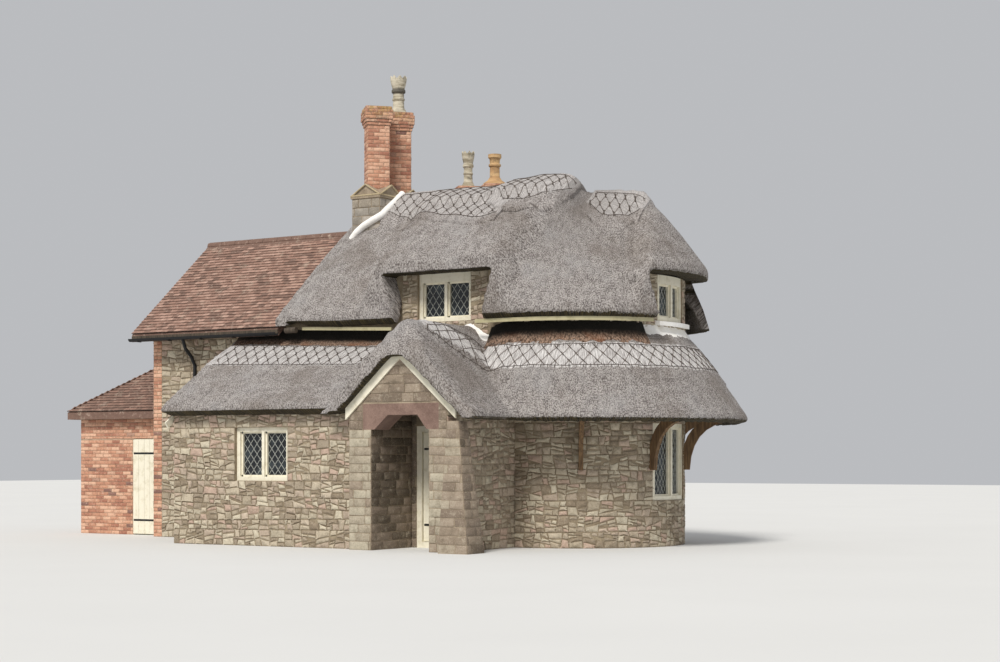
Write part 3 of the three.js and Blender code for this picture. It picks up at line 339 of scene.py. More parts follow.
def clay_finish(name, light, dark, grime, ring=None):
    """A chimney pot's clay, stained in patches, with a black ring at a height if asked."""
    finish = Finish(name, dark, Roughness=0.85)
    patch = finish.noise(7, 6, 0.7)
    finish.stain(finish.noise(1.0, 3, 0.6, finish.place((3, 3, 16))), 0.35, 0.65, 1, light)
    finish.stain(patch, 0.5, 0.66, 0.7, grime)
    if ring:
        height = finish.height()
        above = height.between(ring + 0.08, ring + 0.03)
        finish.stain(height, ring - 0.08, ring - 0.03, above * 0.85, (46, 42, 38))
    return finish.done(patch * 0.6 + finish.noise(50, 3) * 0.4, 0.01)


RUBBLE_COLOURS = [
    (146, 131, 111), (160, 146, 127), (172, 159, 138), (180, 163, 145), (184, 173, 152),
    (193, 180, 158), (204, 194, 172), (188, 163, 146),
]
# The first, darkest, is painted shade for the walls inside the porch
ASHLAR_COLOURS = [
    (96, 84, 70), (129, 114, 99), (143, 128, 111), (156, 141, 124), (169, 158, 139), (182, 173, 153),
]
CHIMNEY_COLOURS = [(140, 133, 123), (154, 147, 137), (166, 158, 148), (150, 140, 126)]
# Height of the black ring on the front chimney's pot, and of the top of its shafts
POT_RING = 9.12
SHAFT_TOP = span("front_chimney_shafts")[1].z

# Each finish: its function, the material's name, and its colours and other values
MAKERS = {
    "thatch": (thatch_finish, "Weathered thatch", (94, 86, 83)),
    "ridge_straw": (straw_finish, "Ridge straw", (208, 201, 197), (100, 92, 88)),
    "packing": (packing_finish, "Packed straw"),
    "rubble": (stone_finish, "Rubble stones", RUBBLE_COLOURS),
    "ashlar": (stone_finish, "Squared stones", ASHLAR_COLOURS),
    "chimney_stone": (stone_finish, "Chimney stones", CHIMNEY_COLOURS, (110, 104, 94)),
    "rubble_stone": (mortar_finish, "Lime mortar", (166, 152, 128), (116, 101, 82)),
    "dressed_stone": (mortar_finish, "Stone and mortar", (176, 160, 138), (126, 112, 94)),
    "lintel_stone": (mortar_finish, "Pink sandstone", (146, 121, 109), (108, 85, 76)),
    "clay_tile": (tile_finish, "Clay tiles"),
    "brickwork": (brick_finish, "Bricks"),
    "chimney_bricks": (brick_finish, "Chimney bricks", SHAFT_TOP),
    "brick": (mortar_finish, "Brick joints", (196, 170, 146), (140, 114, 94)),
    "cream_wood": (paint_finish, "Cream paint", (236, 230, 210), (196, 186, 154)),
    "eaves_paint": (paint_finish, "Mossy cream paint", (186, 178, 142), (140, 130, 92)),
    "brown_wood": (wood_finish, "Brown timber", (132, 104, 72), (80, 60, 40)),
    "old_wood": (wood_finish, "Dark timber", (96, 84, 70), (56, 48, 40)),
    "hazel": (wood_finish, "Hazel spars", (98, 88, 80), (56, 48, 43)),
    # The same hazel as the spars, paler: painted light on one family of spars and on a line along the band
    "bleached_hazel": (wood_finish, "Bleached spars", (126, 116, 108), (80, 71, 65)),
    "lead": (metal_finish, "Window lead", (176, 178, 172), (130, 132, 128), 0.5),
    "pane": (glass_finish, "Window glass"),
    "black_iron": (metal_finish, "Black iron", (26, 27, 29), (48, 44, 40), 0.45),
    "pot_clay": (clay_finish, "Pale pot clay", (206, 198, 178), (156, 146, 124), (112, 106, 92), POT_RING),
    "buff_clay": (clay_finish, "Buff pot clay", (206, 172, 126), (178, 140, 98), (136, 112, 84)),
    "fillet": (mortar_finish, "White fillet", (255, 254, 252), (236, 232, 224)),
    "pointing": (mortar_finish, "Buff pointing", (206, 190, 156), (164, 148, 116)),
    "floor_stone": (mortar_finish, "Floor stone", (150, 140, 126), (104, 96, 86)),
    "floor_board": (wood_finish, "Floor boards", (156, 120, 82), (110, 80, 52)),
}
FINISHES = {}


def finish_for(key):
    """A finish, made when it is first asked for."""
    if key not in FINISHES:
        maker, *values = MAKERS[key]
        FINISHES[key] = maker(*values)
    return FINISHES[key]


# Pieces

def clamp(value):
    return max(0.0, min(1.0, value))


def centre(node):
    """Middle of a solid's box in plan, and its bottom and top."""
    low, high = span(node)
    return (low.x + high.x) / 2, (low.y + high.y) / 2, low.z, high.z


def house_copy(*nodes):
    """The solids' meshes, merged, in the house frame."""
    bm = bmesh.new()
    for name in nodes:
        bm.from_mesh(frame["nodes"][name].data)
    bmesh.ops.remove_doubles(bm, verts=bm.verts, dist=1e-4)
    bmesh.ops.translate(bm, verts=bm.verts, vec=-HOUSE)
    return bm


def gather(bm, part):
    """Adds part to bm and frees part."""
    mesh = bpy.data.meshes.new("part")
    part.to_mesh(mesh)
    part.free()
    bm.from_mesh(mesh)
    bpy.data.meshes.remove(mesh)


def make_piece(name, bm, finish, body="house", sharp=40, stands_for=()):
    """Turns bm into a finished piece that rides on a body. It is smooth all over if sharp is None."""
    bmesh.ops.translate(bm, verts=bm.verts, vec=HOUSE)
    mesh = bpy.data.meshes.new(name)
    bm.to_mesh(mesh)
    bm.free()
    mesh.materials.append(finish_for(finish))
    mesh.polygons.foreach_set("use_smooth", [True] * len(mesh.polygons))
    if sharp is not None:
        mesh.set_sharp_from_angle(angle=math.radians(sharp))
    piece = bpy.data.objects.new(name, mesh)
    bpy.context.scene.collection.objects.link(piece)
    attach(piece, body)
    if stands_for:
        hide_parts(*stands_for)


def block(bm, low, high, turn=None):
    """A box between two corners, turned about its middle by a matrix if one is given."""
    made = bmesh.ops.create_cube(bm, size=1)["verts"]
    low, high = Vector(low), Vector(high)
    bmesh.ops.scale(bm, verts=made, vec=high - low)
    if turn:
        bmesh.ops.transform(bm, verts=made, matrix=turn)
    bmesh.ops.translate(bm, verts=made, vec=(low + high) / 2)
    return made


def rods(bm, paths, radius, roundness=0):
    """Round rods along lists of points, with four sides or more."""
    curve = bpy.data.curves.new("rods", "CURVE")
    curve.dimensions = "3D"
    curve.bevel_depth = radius
    curve.bevel_resolution = roundness
    curve.use_fill_caps = True
    for path in paths:
        spline = curve.splines.new("POLY")
        spline.points.add(len(path) - 1)
        for point, place in zip(spline.points, path):
            point.co = (*place, 1)
    holder = bpy.data.objects.new("rods", curve)
    bpy.context.scene.collection.objects.link(holder)
    shape = holder.evaluated_get(bpy.context.evaluated_depsgraph_get())
    mesh = bpy.data.meshes.new_from_object(shape)
    bm.from_mesh(mesh)
    bpy.data.objects.remove(holder)
    bpy.data.curves.remove(curve)
    bpy.data.meshes.remove(mesh)


def sheet(bm, columns, rows, place, thickness):
    """A closed sheet whose upper side goes where place puts two shares from 0 to 1."""
    part = bmesh.new()
    bmesh.ops.create_grid(part, x_segments=columns, y_segments=rows, size=0.5)
    for v in part.verts:
        v.co = place(v.co.x + 0.5, v.co.y + 0.5)
    bmesh.ops.solidify(part, geom=part.faces[:], thickness=thickness)
    bmesh.ops.recalc_face_normals(part, faces=part.faces[:])
    gather(bm, part)


def turn_pot(bm, node, profile, points=0, notch=0.0):
    """A hollow pot in a solid's place, with a rim cut into points if asked.

    The profile is radii and heights, up the outside and down the inside.
    """
    part = bmesh.new()
    ring = [part.verts.new((radius, 0, height)) for radius, height in profile]
    edges = [part.edges.new((a, b)) for a, b in zip(ring, [*ring[1:], ring[0]])]
    steps = 8 * points if points else 32
    bmesh.ops.spin(
        part, geom=edges, cent=(0, 0, 0), axis=(0, 0, 1), angle=2 * math.pi, steps=steps, use_merge=True,
    )
    bmesh.ops.recalc_face_normals(part, faces=part.faces[:])
    top = max(height for _, height in profile)
    for v in part.verts:
        if points and v.co.z > top - 0.03:
            turn = math.atan2(v.co.y, v.co.x) / (2 * math.pi) * points
            v.co.z -= notch * (1 - abs(2 * (turn % 1) - 1))
    bmesh.ops.translate(part, verts=part.verts, vec=centre(node)[:3])
    gather(bm, part)


def value_at(points, u):
    """A smooth value at u, from points of u and value or from a plain number."""
    if not isinstance(points, list):
        return points
    if u <= points[0][0]:
        return points[0][1]
    for (a, low), (b, high) in zip(points, points[1:]):
        if u <= b:
            share = (u - a) / (b - a)
            return low + (high - low) * share * share * (3 - 2 * share)
    return points[-1][1]


def on_path(points, share):
    """The place at a share of the length of a line through points."""
    points = [Vector(p) for p in points]
    lengths = [(b - a).length for a, b in zip(points, points[1:])]
    left = share * sum(lengths)
    for a, b, length in zip(points, points[1:], lengths):
        if left <= length:
            break
        left -= length
    return a + (b - a) * (left / length)


# Walls are made flat, u across, v up and w outwards, and then put in place

def plane(origin, across, up=UP):
    """Puts flat places on a plane. Outwards is to the right-hand side of across and up."""
    origin, across, up = Vector(origin), Vector(across), Vector(up)
    out = across.cross(up)
    return lambda p: origin + across * p.x + up * p.y + out * p.z


def end_wall(p):
    """Round the end. u runs along the wall's face from the front bend, and goes on straight past it."""
    whole = math.pi * ROUND
    if p.x <= 0:
        return Vector((BEND + p.x, -p.z, p.y))
    if p.x >= whole:
        return Vector((BEND - (p.x - whole), DEPTH + p.z, p.y))
    angle = p.x / ROUND - math.pi / 2
    reach = ROUND + p.z
    return Vector((BEND + reach * math.cos(angle), MIDDLE + reach * math.sin(angle), p.y))


def end_u(degrees):
    """Place along the end wall's face, from an angle that is 0 at its far right."""
    return math.radians(degrees + 90) * ROUND


def cut_face(bm, face, point, normal):
    """Cuts one face in two along a line and returns both."""
    geom = [face, *face.edges, *face.verts]
    made = bmesh.ops.bisect_plane(bm, geom=geom, dist=1e-6, plane_co=point, plane_no=normal)
    edges = [g for g in made["geom_cut"] if isinstance(g, bmesh.types.BMEdge)]
    if not edges:
        return [face]
    halves = list(edges[0].link_faces)
    bmesh.ops.split_edges(bm, edges=edges)
    return halves


def face_box(face):
    us = [v.co.x for v in face.verts]
    vs = [v.co.y for v in face.verts]
    return min(us), max(us), min(vs), max(vs)


def lay_bed(width, low, high, holes, clips):
    """A flat bed of faces from u = 0 to width and v = low to high, cut round holes and by clip lines."""
    bm = bmesh.new()
    bmesh.ops.create_grid(bm, x_segments=1, y_segments=1, size=0.5)
    bmesh.ops.scale(bm, verts=bm.verts, vec=(width, high - low, 1))
    bmesh.ops.translate(bm, verts=bm.verts, vec=(width / 2, (low + high) / 2, 0))
    for u0, u1, v0, v1 in holes:
        for face in list(bm.faces):
            a, b, c, d = face_box(face)
            if b <= u0 + 1e-4 or a >= u1 - 1e-4 or d <= v0 + 1e-4 or c >= v1 - 1e-4:
                continue
            for v in (v0, v1):
                if c < v < d:
                    halves = cut_face(bm, face, (0, v, 0), (0, 1, 0))
                    face = max(halves, key=lambda f: min(face_box(f)[3], v1) - max(face_box(f)[2], v0))
            for u in (u0, u1):
                if a < u < b:
                    halves = cut_face(bm, face, (u, 0, 0), (1, 0, 0))
                    face = max(halves, key=lambda f: min(face_box(f)[1], u1) - max(face_box(f)[0], u0))
            bm.faces.remove(face)
    for point, normal in clips:
        geom = bm.faces[:] + bm.edges[:] + bm.verts[:]
        bmesh.ops.bisect_plane(
            bm, geom=geom, dist=1e-6, plane_co=(*point, 0), plane_no=(*normal, 0), clear_outer=True,
        )
    return bm


# The thinnest stone, how far stones reach behind a wall's face, and the least that they stand out
THINNEST = 0.022
ROOT = 0.012
LEAST = 0.001


def open_joints(bm, joint):
    """Draws every cell in by half a joint, and leaves out cells too thin to make a stone."""
    cells = {face: face_box(face) for face in bm.faces}
    rim = bmesh.ops.inset_individual(bm, faces=bm.faces[:], thickness=joint / 2, use_even_offset=True)
    bmesh.ops.delete(bm, geom=rim["faces"], context="FACES")
    spoiled = []
    for face, (u0, u1, v0, v1) in cells.items():
        a, b, c, d = face_box(face)
        inside = a > u0 and b < u1 and c > v0 and d < v1
        if not inside or face.calc_area() < THINNEST * max(b - a, d - c):
            spoiled.append(face)
    bmesh.ops.delete(bm, geom=spoiled, context="FACES")


def raise_stones(bm, joint, proud, rounding, rng, tones):
    """Turns flat cells into stones: a joint round each, worn corners, a domed face and a tone."""
    open_joints(bm, joint)
    if rounding:
        bmesh.ops.bevel(
            bm, geom=bm.verts[:], offset=rounding, offset_type="OFFSET", segments=1, profile=0.5,
            affect="VERTICES", clamp_overlap=True, material=-1,
        )
        for v in bm.verts:
            for axis in (0, 1):
                v.co[axis] += rng.uniform(-0.3, 0.3) * joint
    bm.normal_update()
    tone = bm.faces.layers.float.new("tone")
    flat = bm.faces[:]
    for face in flat:
        if face.normal.z < 0:
            face.normal_flip()
        face[tone] = rng.uniform(*tones)
    made = bmesh.ops.extrude_face_region(bm, geom=flat, use_keep_orig=True)
    tops = [g for g in made["geom"] if isinstance(g, bmesh.types.BMFace)]
    for face in flat:
        face.normal_flip()
        for v in face.verts:
            v.co.z = -ROOT
    for face in tops:
        middle = face.calc_center_median()
        out = rng.uniform(*proud)
        tilt = rng.uniform(-1, 1) * proud[1], rng.uniform(-1, 1) * proud[1]
        for v in face.verts:
            away = 2 * (v.co - middle)
            v.co.z = max(LEAST, out + tilt[0] * away.x + tilt[1] * away.y)
    edge = min(0.018, proud[1])
    bmesh.ops.inset_individual(bm, faces=tops, thickness=edge, depth=edge * 0.5, use_even_offset=False)
    bmesh.ops.poke(bm, faces=tops, offset=proud[1] * 0.15, center_mode="MEAN")


def place_wall(bm, part, put):
    for v in part.verts:
        v.co = put(v.co)
    gather(bm, part)


# Rubble: how its stones vary in size, where a cut may fall, how far it may lean, and how far the stones
# stand out and are worn
SIZES = (0.75, 1.45)
SHARES = (0.36, 0.64)
WANDER = 0.3
RUBBLE_PROUD = (0.002, 0.014)
RUBBLE_ROUNDING = 0.034


def rubble(bm, put, width, low, high, size, joint, seed, holes=(), clips=()):
    """Rubble stones over a wall. What lies past a clip's point in its direction is left out."""
    rng = random.Random(seed)
    part = lay_bed(width, low, high, holes, clips)
    left = list(part.faces)
    while left:
        face = left.pop()
        u0, u1, v0, v1 = face_box(face)
        wide, tall = u1 - u0, v1 - v0
        over_wide = wide / (size[0] * rng.uniform(*SIZES))
        over_tall = tall / (size[1] * rng.uniform(*SIZES))
        if over_wide <= 1 and over_tall <= 1:
            continue
        lean = rng.uniform(-WANDER, WANDER)
        share = rng.uniform(*SHARES)
        if over_tall > 1 and (tall > 3 * size[1] or over_tall > over_wide):
            lean *= min(1, 2 * size[0] / wide)
            halves = cut_face(part, face, (u0 + wide / 2, v0 + share * tall, 0), (lean, 1, 0))
        else:
            halves = cut_face(part, face, (u0 + share * wide, v0 + tall / 2, 0), (1, lean, 0))
        if len(halves) > 1:
            left.extend(halves)
    raise_stones(part, joint, RUBBLE_PROUD, RUBBLE_ROUNDING, rng, (0, 1))
    place_wall(bm, part, put)


def courses(bm, put, width, low, high, unit, tall, joint, proud, vary, seed, holes=(), clips=(),
            rounding=0.0, tones=(0, 1)):
    """Bricks or squared stones laid in courses, with upright joints that break."""
    rng = random.Random(seed)
    part = lay_bed(width, low, high, holes, clips)
    rows = max(1, round((high - low) / tall))
    for row in range(1, rows):
        v = low + (high - low) * row / rows
        for face in list(part.faces):
            if face_box(face)[2] < v - 1e-4 and face_box(face)[3] > v + 1e-4:
                cut_face(part, face, (0, v, 0), (0, 1, 0))
    for face in list(part.faces):
        u0, u1, v0, _ = face_box(face)
        row = round((v0 - low) / (high - low) * rows)
        u = -unit * (0.5 if row % 2 else 0.0) + rng.uniform(-vary, vary) * unit
        while u < u1:
            u += unit * (1 + rng.uniform(-vary, vary))
            if u0 + 0.02 < u < u1 - 0.02:
                halves = cut_face(part, face, (u, 0, 0), (1, 0, 0))
                face = max(halves, key=lambda f: face_box(f)[1])
    raise_stones(part, joint, proud, rounding, rng, tones)
    place_wall(bm, part, put)


# Thatch

def soften(bm, verts, factor):
    bmesh.ops.smooth_vert(bm, verts=verts, factor=factor, use_axis_x=True, use_axis_y=True, use_axis_z=True)


# Rounds of smoothing, how rough the straw is, and its lumps' sizes, per metre, and shares
SMOOTHINGS = 3
ROUGHNESS = 0.02
LUMPS = [(1.3, 0.5), (6, 0.35), (17, 0.3)]


def skin(bm, voxel, seed):
    """One even, closed skin over everything in bm, smoothed and then roughened a little."""
    low = Vector([min(v.co[i] for v in bm.verts) for i in range(3)])
    high = Vector([max(v.co[i] for v in bm.verts) for i in range(3)])
    mesh = bpy.data.meshes.new("blank")
    bm.to_mesh(mesh)
    bm.free()
    blank = bpy.data.objects.new("blank", mesh)
    bpy.context.scene.collection.objects.link(blank)
    remesh = blank.modifiers.new("Voxels", "REMESH")
    remesh.mode = "VOXEL"
    remesh.voxel_size = voxel
    shape = blank.evaluated_get(bpy.context.evaluated_depsgraph_get())
    even = bpy.data.meshes.new_from_object(shape)
    made = bmesh.new()
    made.from_mesh(even)
    bpy.data.objects.remove(blank)
    bpy.data.meshes.remove(mesh)
    bpy.data.meshes.remove(even)
    for _ in range(SMOOTHINGS):
        soften(made, made.verts, 0.5)
        soften(made, made.verts, -0.42)
    made.normal_update()
    offset = Vector((seed, seed, seed))
    for v in made.verts:
        lump = sum(share * noise.noise(v.co * size + offset) for size, share in LUMPS)
        v.co += v.normal * ROUGHNESS * lump
        v.co = [max(low[i], min(high[i], v.co[i])) for i in range(3)]
    return made


def comb(bm, along, dressed=None):
    """Lays the straw's UV map, where along gives places down the straw, and marks undersides for painted
    shade.
    """
    uv = bm.loops.layers.uv.new("straw")
    under = bm.faces.layers.float.new("under")
    pale = bm.verts.layers.float.new("dressed")
    bm.normal_update()
    for face in bm.faces:
        middle = face.calc_center_median()
        place = along(face, middle)
        for loop in face.loops:
            loop[uv].uv = place(loop.vert.co)
        # Painted shade: faces that look down are marked, the more the steeper they face the ground
        face[under] = clamp(-2.4 * face.normal.z - 0.5)
    if dressed:
        for v in bm.verts:
            v[pale] = dressed(v.co)


def down_straw(out, drop):
    """Length down a roof's slope, near enough, from how far out and how far down a point lies."""
    return 0.7 * (out + drop)


def round_straw(reach, top):
    """Straw that runs down from the ridge line and fans out round the end."""
    def along(face, middle):
        back = middle.y > MIDDLE

        def place(p):
            if p.x > BEND:
                turn = math.atan2(p.y - MIDDLE, p.x - BEND) + math.pi / 2
                u = BEND + turn * reach
                out = math.hypot(p.x - BEND, p.y - MIDDLE)
            else:
                u = BEND + math.pi * reach + BEND - p.x if back else p.x
                out = abs(p.y - MIDDLE)
            return u, down_straw(out, top - p.z)
        return place
    return along


def lower_straw(face, middle):
    """Straw of the lower roofs: down the lean-to, off the porch's flanks and fanning out round the end."""
    top = 4
    on_porch = abs(middle.x - PORCH_AXIS) < 1.6 and middle.y > PORCH_FRONT + 0.2
    if on_porch and abs(face.normal.x) > abs(face.normal.y):
        return lambda p: (p.y, down_straw(abs(p.x - PORCH_AXIS), top - p.z))
    if middle.x < BEND and middle.y < MIDDLE:
        return lambda p: (p.x, down_straw(-p.y, top - p.z))
    return round_straw(ROUND + SKIRT_REACH, top)(face, middle)


def wall_distance(p):
    """How far in front of the main wall's face a point lies, round the end too."""
    if p.x > BEND:
        return math.hypot(p.x - BEND, p.y - MIDDLE) - ROUND
    return max(-p.y, p.y - DEPTH)


class Lattice:
    """Hazel spars laid on straw: lines along it, crossed spars, and the ties where they cross."""

    def __init__(self, surface, place, lift=0.006, skew=0.0):
        self.tree = BVHTree.FromBMesh(surface)
        self.place = place
        self.skew = skew
        self.lift = lift
        self.dark = []
        self.pale = []
        self.ties = []

    def on_straw(self, u, t):
        x, y = self.place(u, t)
        hit = self.tree.ray_cast(Vector((x, y, SKY)), DOWN)[0]
        return hit + UP * self.lift if hit else None

    def run(self, points, paths):
        path = [p for p in (self.on_straw(u, t) for u, t in points) if p]
        steep = any(abs(a.z - b.z) > 0.25 for a, b in zip(path, path[1:]))
        if len(path) > 1 and not steep:
            paths.append(path)

    def line(self, u0, u1, t, paths=None):
        """t is a distance, or points of u and distance."""
        count = max(2, round(abs(u1 - u0) / 0.08))
        places = [u0 + (u1 - u0) * i / count for i in range(count + 1)]
        self.run([(u, value_at(t, u)) for u in places], self.dark if paths is None else paths)

    def stitched(self, u0, u1, t, every=0.12):
        """A line with short stitches across it."""
        self.line(u0, u1, t)
        for i in range(int((u1 - u0) / every)):
            u = u0 + every * (i + 0.5)
            at = value_at(t, u)
            self.run([(u, at - 0.012), (u + 0.004, at + 0.03)], self.dark)

    def crossed(self, u0, u1, top, foot, wide, tall, first):
        """Crossed spars, wide apart, whose crossings lie in rows tall apart, the first just below top."""
        count = round((u1 - u0) / wide)
        step = (u1 - u0) / count
        deepest = max(value_at(foot, u0 + step * i) for i in range(count + 1))
        sideways = math.ceil(self.skew * (deepest - top) / step)
        spread = math.ceil((deepest - top) / tall / 2) + 1 + sideways
        # Lit and shaded copies of one hazel: spars leaning one way are drawn dark as painted shade, the
        # other way pale as painted light
        for way, paths in ((1, self.dark), (-1, self.pale)):
            for i in range(-spread, count + spread + 1):
                points = []
                for k in range(25):
                    t = top + (deepest - top) * k / 24
                    u = u0 + step * (i + way * (t - top - first) / (2 * tall)) + self.skew * (t - top)
                    if u0 <= u <= u1 and t <= value_at(foot, u):
                        points.append((u, t))
                self.run(points, paths)
        for row in range(int((deepest - top - first) / tall) + 1):
            t = top + first + row * tall
            for i in range(-sideways, count + sideways + 1):
                u = u0 + step * (i + (row % 2) / 2) + self.skew * (t - top)
                if u0 <= u <= u1 and t <= value_at(foot, u) - 0.01:
                    lean, long = 0.12 * step, 0.24 * tall
                    self.run([(u - lean, t - long), (u + lean, t + long)], self.ties)

    def gather(self, dark, pale, radius):
        rods(dark, self.dark, radius)
        rods(dark, self.ties, radius * 1.9)
        rods(pale, self.pale, radius)


# The lower thatch's pattern: its top and foot lines as distances from the wall, round the end and over
# the lean-to, where the straw's dressed layer ends, and how far that layer stands up
BAND_TOP, BAND_FOOT, BAND_EDGE = 0.3, 0.61, 0.77
LEAN_TOP, LEAN_FOOT, LEAN_EDGE = 0.3, 1.03, 1.12
LAYER = 0.022
DIAMOND = 0.245
# How much the spars' pattern leans along the ridge and the lean-to for each metre down
SKEW = 0.45
# The ridge's top line, as a distance from the crest, and the thickness of its dressed straw
RIDGE_TOP = 0.1
RIDGE_THICKNESS = 0.09
# Where the band climbs the porch's flank, in plan from its upper end to the front bend
FLANK = 1.5
FLANK_TOP = [
    (-0.55, -1.3), (-0.516, -1.025), (-0.413, -0.695), (-0.307, -0.363), (-0.067, -0.234), (BEND, -0.3),
]
FLANK_FOOT = [
    (-0.399, -1.828), (-0.282, -1.533), (-0.139, -1.305), (-0.02, -1.102), (0.102, -0.866), (0.25, -0.68),
    (BEND, -0.61),
]


def skirt_place(u, t):
    """u runs round the skirt half a metre out from the wall, from the front bend."""
    reach = ROUND + 0.5
    if u <= 0:
        return BEND + u, -t
    if u >= math.pi * reach:
        return BEND - (u - math.pi * reach), DEPTH + t
    angle = u / reach - math.pi / 2
    return BEND + (ROUND + t) * math.cos(angle), MIDDLE + (ROUND + t) * math.sin(angle)


def skirt_u(degrees):
    """Place along the skirt, from an angle that is 0 at the house's far right."""
    return math.radians(degrees + 90) * (ROUND + 0.5)


def band_place(u, t):
    """As skirt_place, but short of the front bend the band climbs the porch's flank."""
    if u >= 0:
        return skirt_place(u, t)
    share = max(0.0, 1 + u / FLANK)
    down = (t - BAND_TOP) / (BAND_FOOT - BAND_TOP)
    return tuple(on_path(FLANK_TOP, share).lerp(on_path(FLANK_FOOT, share), down))


def lean_place(u, t):
    return u, -t


# Blocks of the dressed ridge: ends, lift, width of the plain straw below the pattern, and points along
# the ridge of how far down the edge lies
LEFT_EDGE = [(-3.6, 0.8), (-3.0, 1.0), (-2.4, 1.3), (-1.6, 1.52), (-0.8, 1.7), (-0.4, 1.62)]
MIDDLE_EDGE = [(-0.95, 1.0), (-0.5, 1.3), (-0.1, 1.38), (0.27, 1.1), (0.45, 0.75), (0.56, 0.35)]
RIGHT_EDGE = [(0.86, 0.6), (1.38, 0.84), (1.75, 0.74), (2.02, 0.5)]
RIDGE_BLOCKS = [
    (-3.6, -0.4, 0.05, 0.2, LEFT_EDGE),
    (-0.95, 0.56, 0.1, 0.3, MIDDLE_EDGE),
    (0.86, 2.02, 0.05, 0.22, RIGHT_EDGE),
]
# Straw packed into the corners of the end's hood: angle, distance from the end's centre, height and radius
HOOD_CORNER = [
    (36, 2.05, 4.86, 0.15), (33.5, 2.11, 4.88, 0.16), (31.5, 2.2, 4.9, 0.15), (30, 2.3, 4.9, 0.14),
]
# Where the eave's left end meets the tiles, and the height from which the rest of the eave hangs lower
EAVE_END = -4.2
EAVE_BEND = 4.34
# How far the rest is lowered, and the share of its depth by which the left end is lifted
EAVE_DROP = 0.045
EAVE_LIFT = 0.71
# Behind the hood the straw tapers between two angles and below a height, and hangs lower below another
TAPER_FROM, TAPER_TO = 16, 65
TAPER_TOP, TAPER_FOOT = 4.94, 4.4


def settle_eaves(roof):
    """Lifts the eave's left end over the tiles, lowers the rest, and tapers the straw behind the hood."""
    for v in roof.verts:
        p = v.co
        if p.x > EAVE_END and p.z < EAVE_BEND and wall_distance(p) > 0.1:
            p.z -= EAVE_DROP * clamp((EAVE_BEND - p.z) / 0.15) * clamp((p.x - EAVE_END) / 0.8)
        lift = EAVE_BEND - 0.08 - p.z
        if p.x < EAVE_END and lift > 0 and not 0.3 < p.y < DEPTH - 0.3:
            p.z += EAVE_LIFT * lift * clamp((EAVE_END - p.x) / 0.2)
        angle = math.degrees(math.atan2(p.y - MIDDLE, p.x - BEND))
        if p.x > BEND and TAPER_FROM < angle < TAPER_TO and p.z < TAPER_TOP:
            share = clamp((TAPER_TO - angle) / 12)
            reach = math.hypot(p.x - BEND, p.y - MIDDLE)
            edge = 2.58 - 0.42 * (p.z - 4.0)
            slim = edge if reach > edge - 0.12 else reach
            turn = 1 + share * (slim / reach - 1)
            p.x = BEND + (p.x - BEND) * turn
            p.y = MIDDLE + (p.y - MIDDLE) * turn
            if p.z < TAPER_FOOT:
                p.z -= 0.12 * share * clamp((TAPER_FOOT - p.z) / 0.3)


class COTTAGE_OT_upper_thatch(bpy.types.Operator):
    """Grow the upper thatch and its dressed ridge"""
    bl_idname = "cottage.upper_thatch"
    bl_label = "Upper thatch"

    def execute(self, context):
        settings = context.scene.cottage_thatch
        top = span("upper_thatch")[1].z
        blank = house_copy("upper_thatch", "ridge_band")
        for side in (-1, 1):
            for degrees, reach, height, size in HOOD_CORNER:
                packed = bmesh.ops.create_icosphere(blank, subdivisions=3, radius=size)["verts"]
                angle = math.radians(side * degrees)
                middle = (BEND + reach * math.cos(angle), MIDDLE + reach * math.sin(angle), height)
                bmesh.ops.translate(blank, verts=packed, vec=middle)
        roof = skin(blank, settings.voxel, 3.0)
        settle_eaves(roof)
        # Beside the crest and over the round end, the edges that the solids leave are smoothed away
        high = [v for v in roof.verts if v.co.z > 5.3]
        crest = [v for v in high if -3.6 < v.co.x < 2.6 and 0.4 < abs(v.co.y - MIDDLE) < 1.35]
        end = [v for v in high if 1.7 < v.co.x < 2.6]
        for _ in range(10):
            soften(roof, crest, 0.5)
            soften(roof, end, 0.5)
        comb(roof, round_straw(EAVE_REACH, top))

        tree = BVHTree.FromBMesh(roof)
        ridge, dark, pale = bmesh.new(), bmesh.new(), bmesh.new()
        for start, finish, lift, plain_straw, edge in RIDGE_BLOCKS:
            def laid(across, down):
                u = start + (finish - start) * across
                ragged = 0.03 * noise.noise((u * 13, down, 2.0))
                t = (2 * down - 1) * (value_at(edge, u) + ragged)
                hit = tree.ray_cast(Vector((u, MIDDLE + t, SKY)), DOWN)[0]
                return hit + UP * (lift + 0.01 * noise.noise(hit * 7))

            part = bmesh.new()
            sheet(part, round((finish - start) / settings.voxel), 48, laid, RIDGE_THICKNESS)
            foot = [(u, t - plain_straw) for u, t in edge]
            u0, u1 = start + 0.06, finish - 0.06
            for side in (-1, 1):
                lattice = Lattice(part, lambda u, t: (u, MIDDLE + side * t), skew=SKEW)
                lattice.line(u0, u1, RIDGE_TOP)
                lattice.stitched(u0, u1, foot)
                lattice.crossed(u0, u1, RIDGE_TOP, foot, 0.23, 0.19, 0.08)
                lattice.gather(dark, pale, settings.spar)
            gather(ridge, part)

        def patterned(p):
            """How dressed the ridge is at a point: partly within the spars' pattern, not at all below it."""
            for start, finish, _, plain_straw, edge in RIDGE_BLOCKS:
                if start <= p.x <= finish and abs(p.y - MIDDLE) < value_at(edge, p.x) - plain_straw:
                    return 0.45
            return 0.0

        comb(ridge, round_straw(EAVE_REACH, top), patterned)
        make_piece("upper_thatch_straw", roof, "thatch", sharp=None, stands_for=["upper_thatch"])
        make_piece("ridge_straw", ridge, "ridge_straw", stands_for=["ridge_band"])
        make_piece("ridge_spars", dark, "hazel")
        make_piece("ridge_strands", pale, "bleached_hazel")
        return {"FINISHED"}


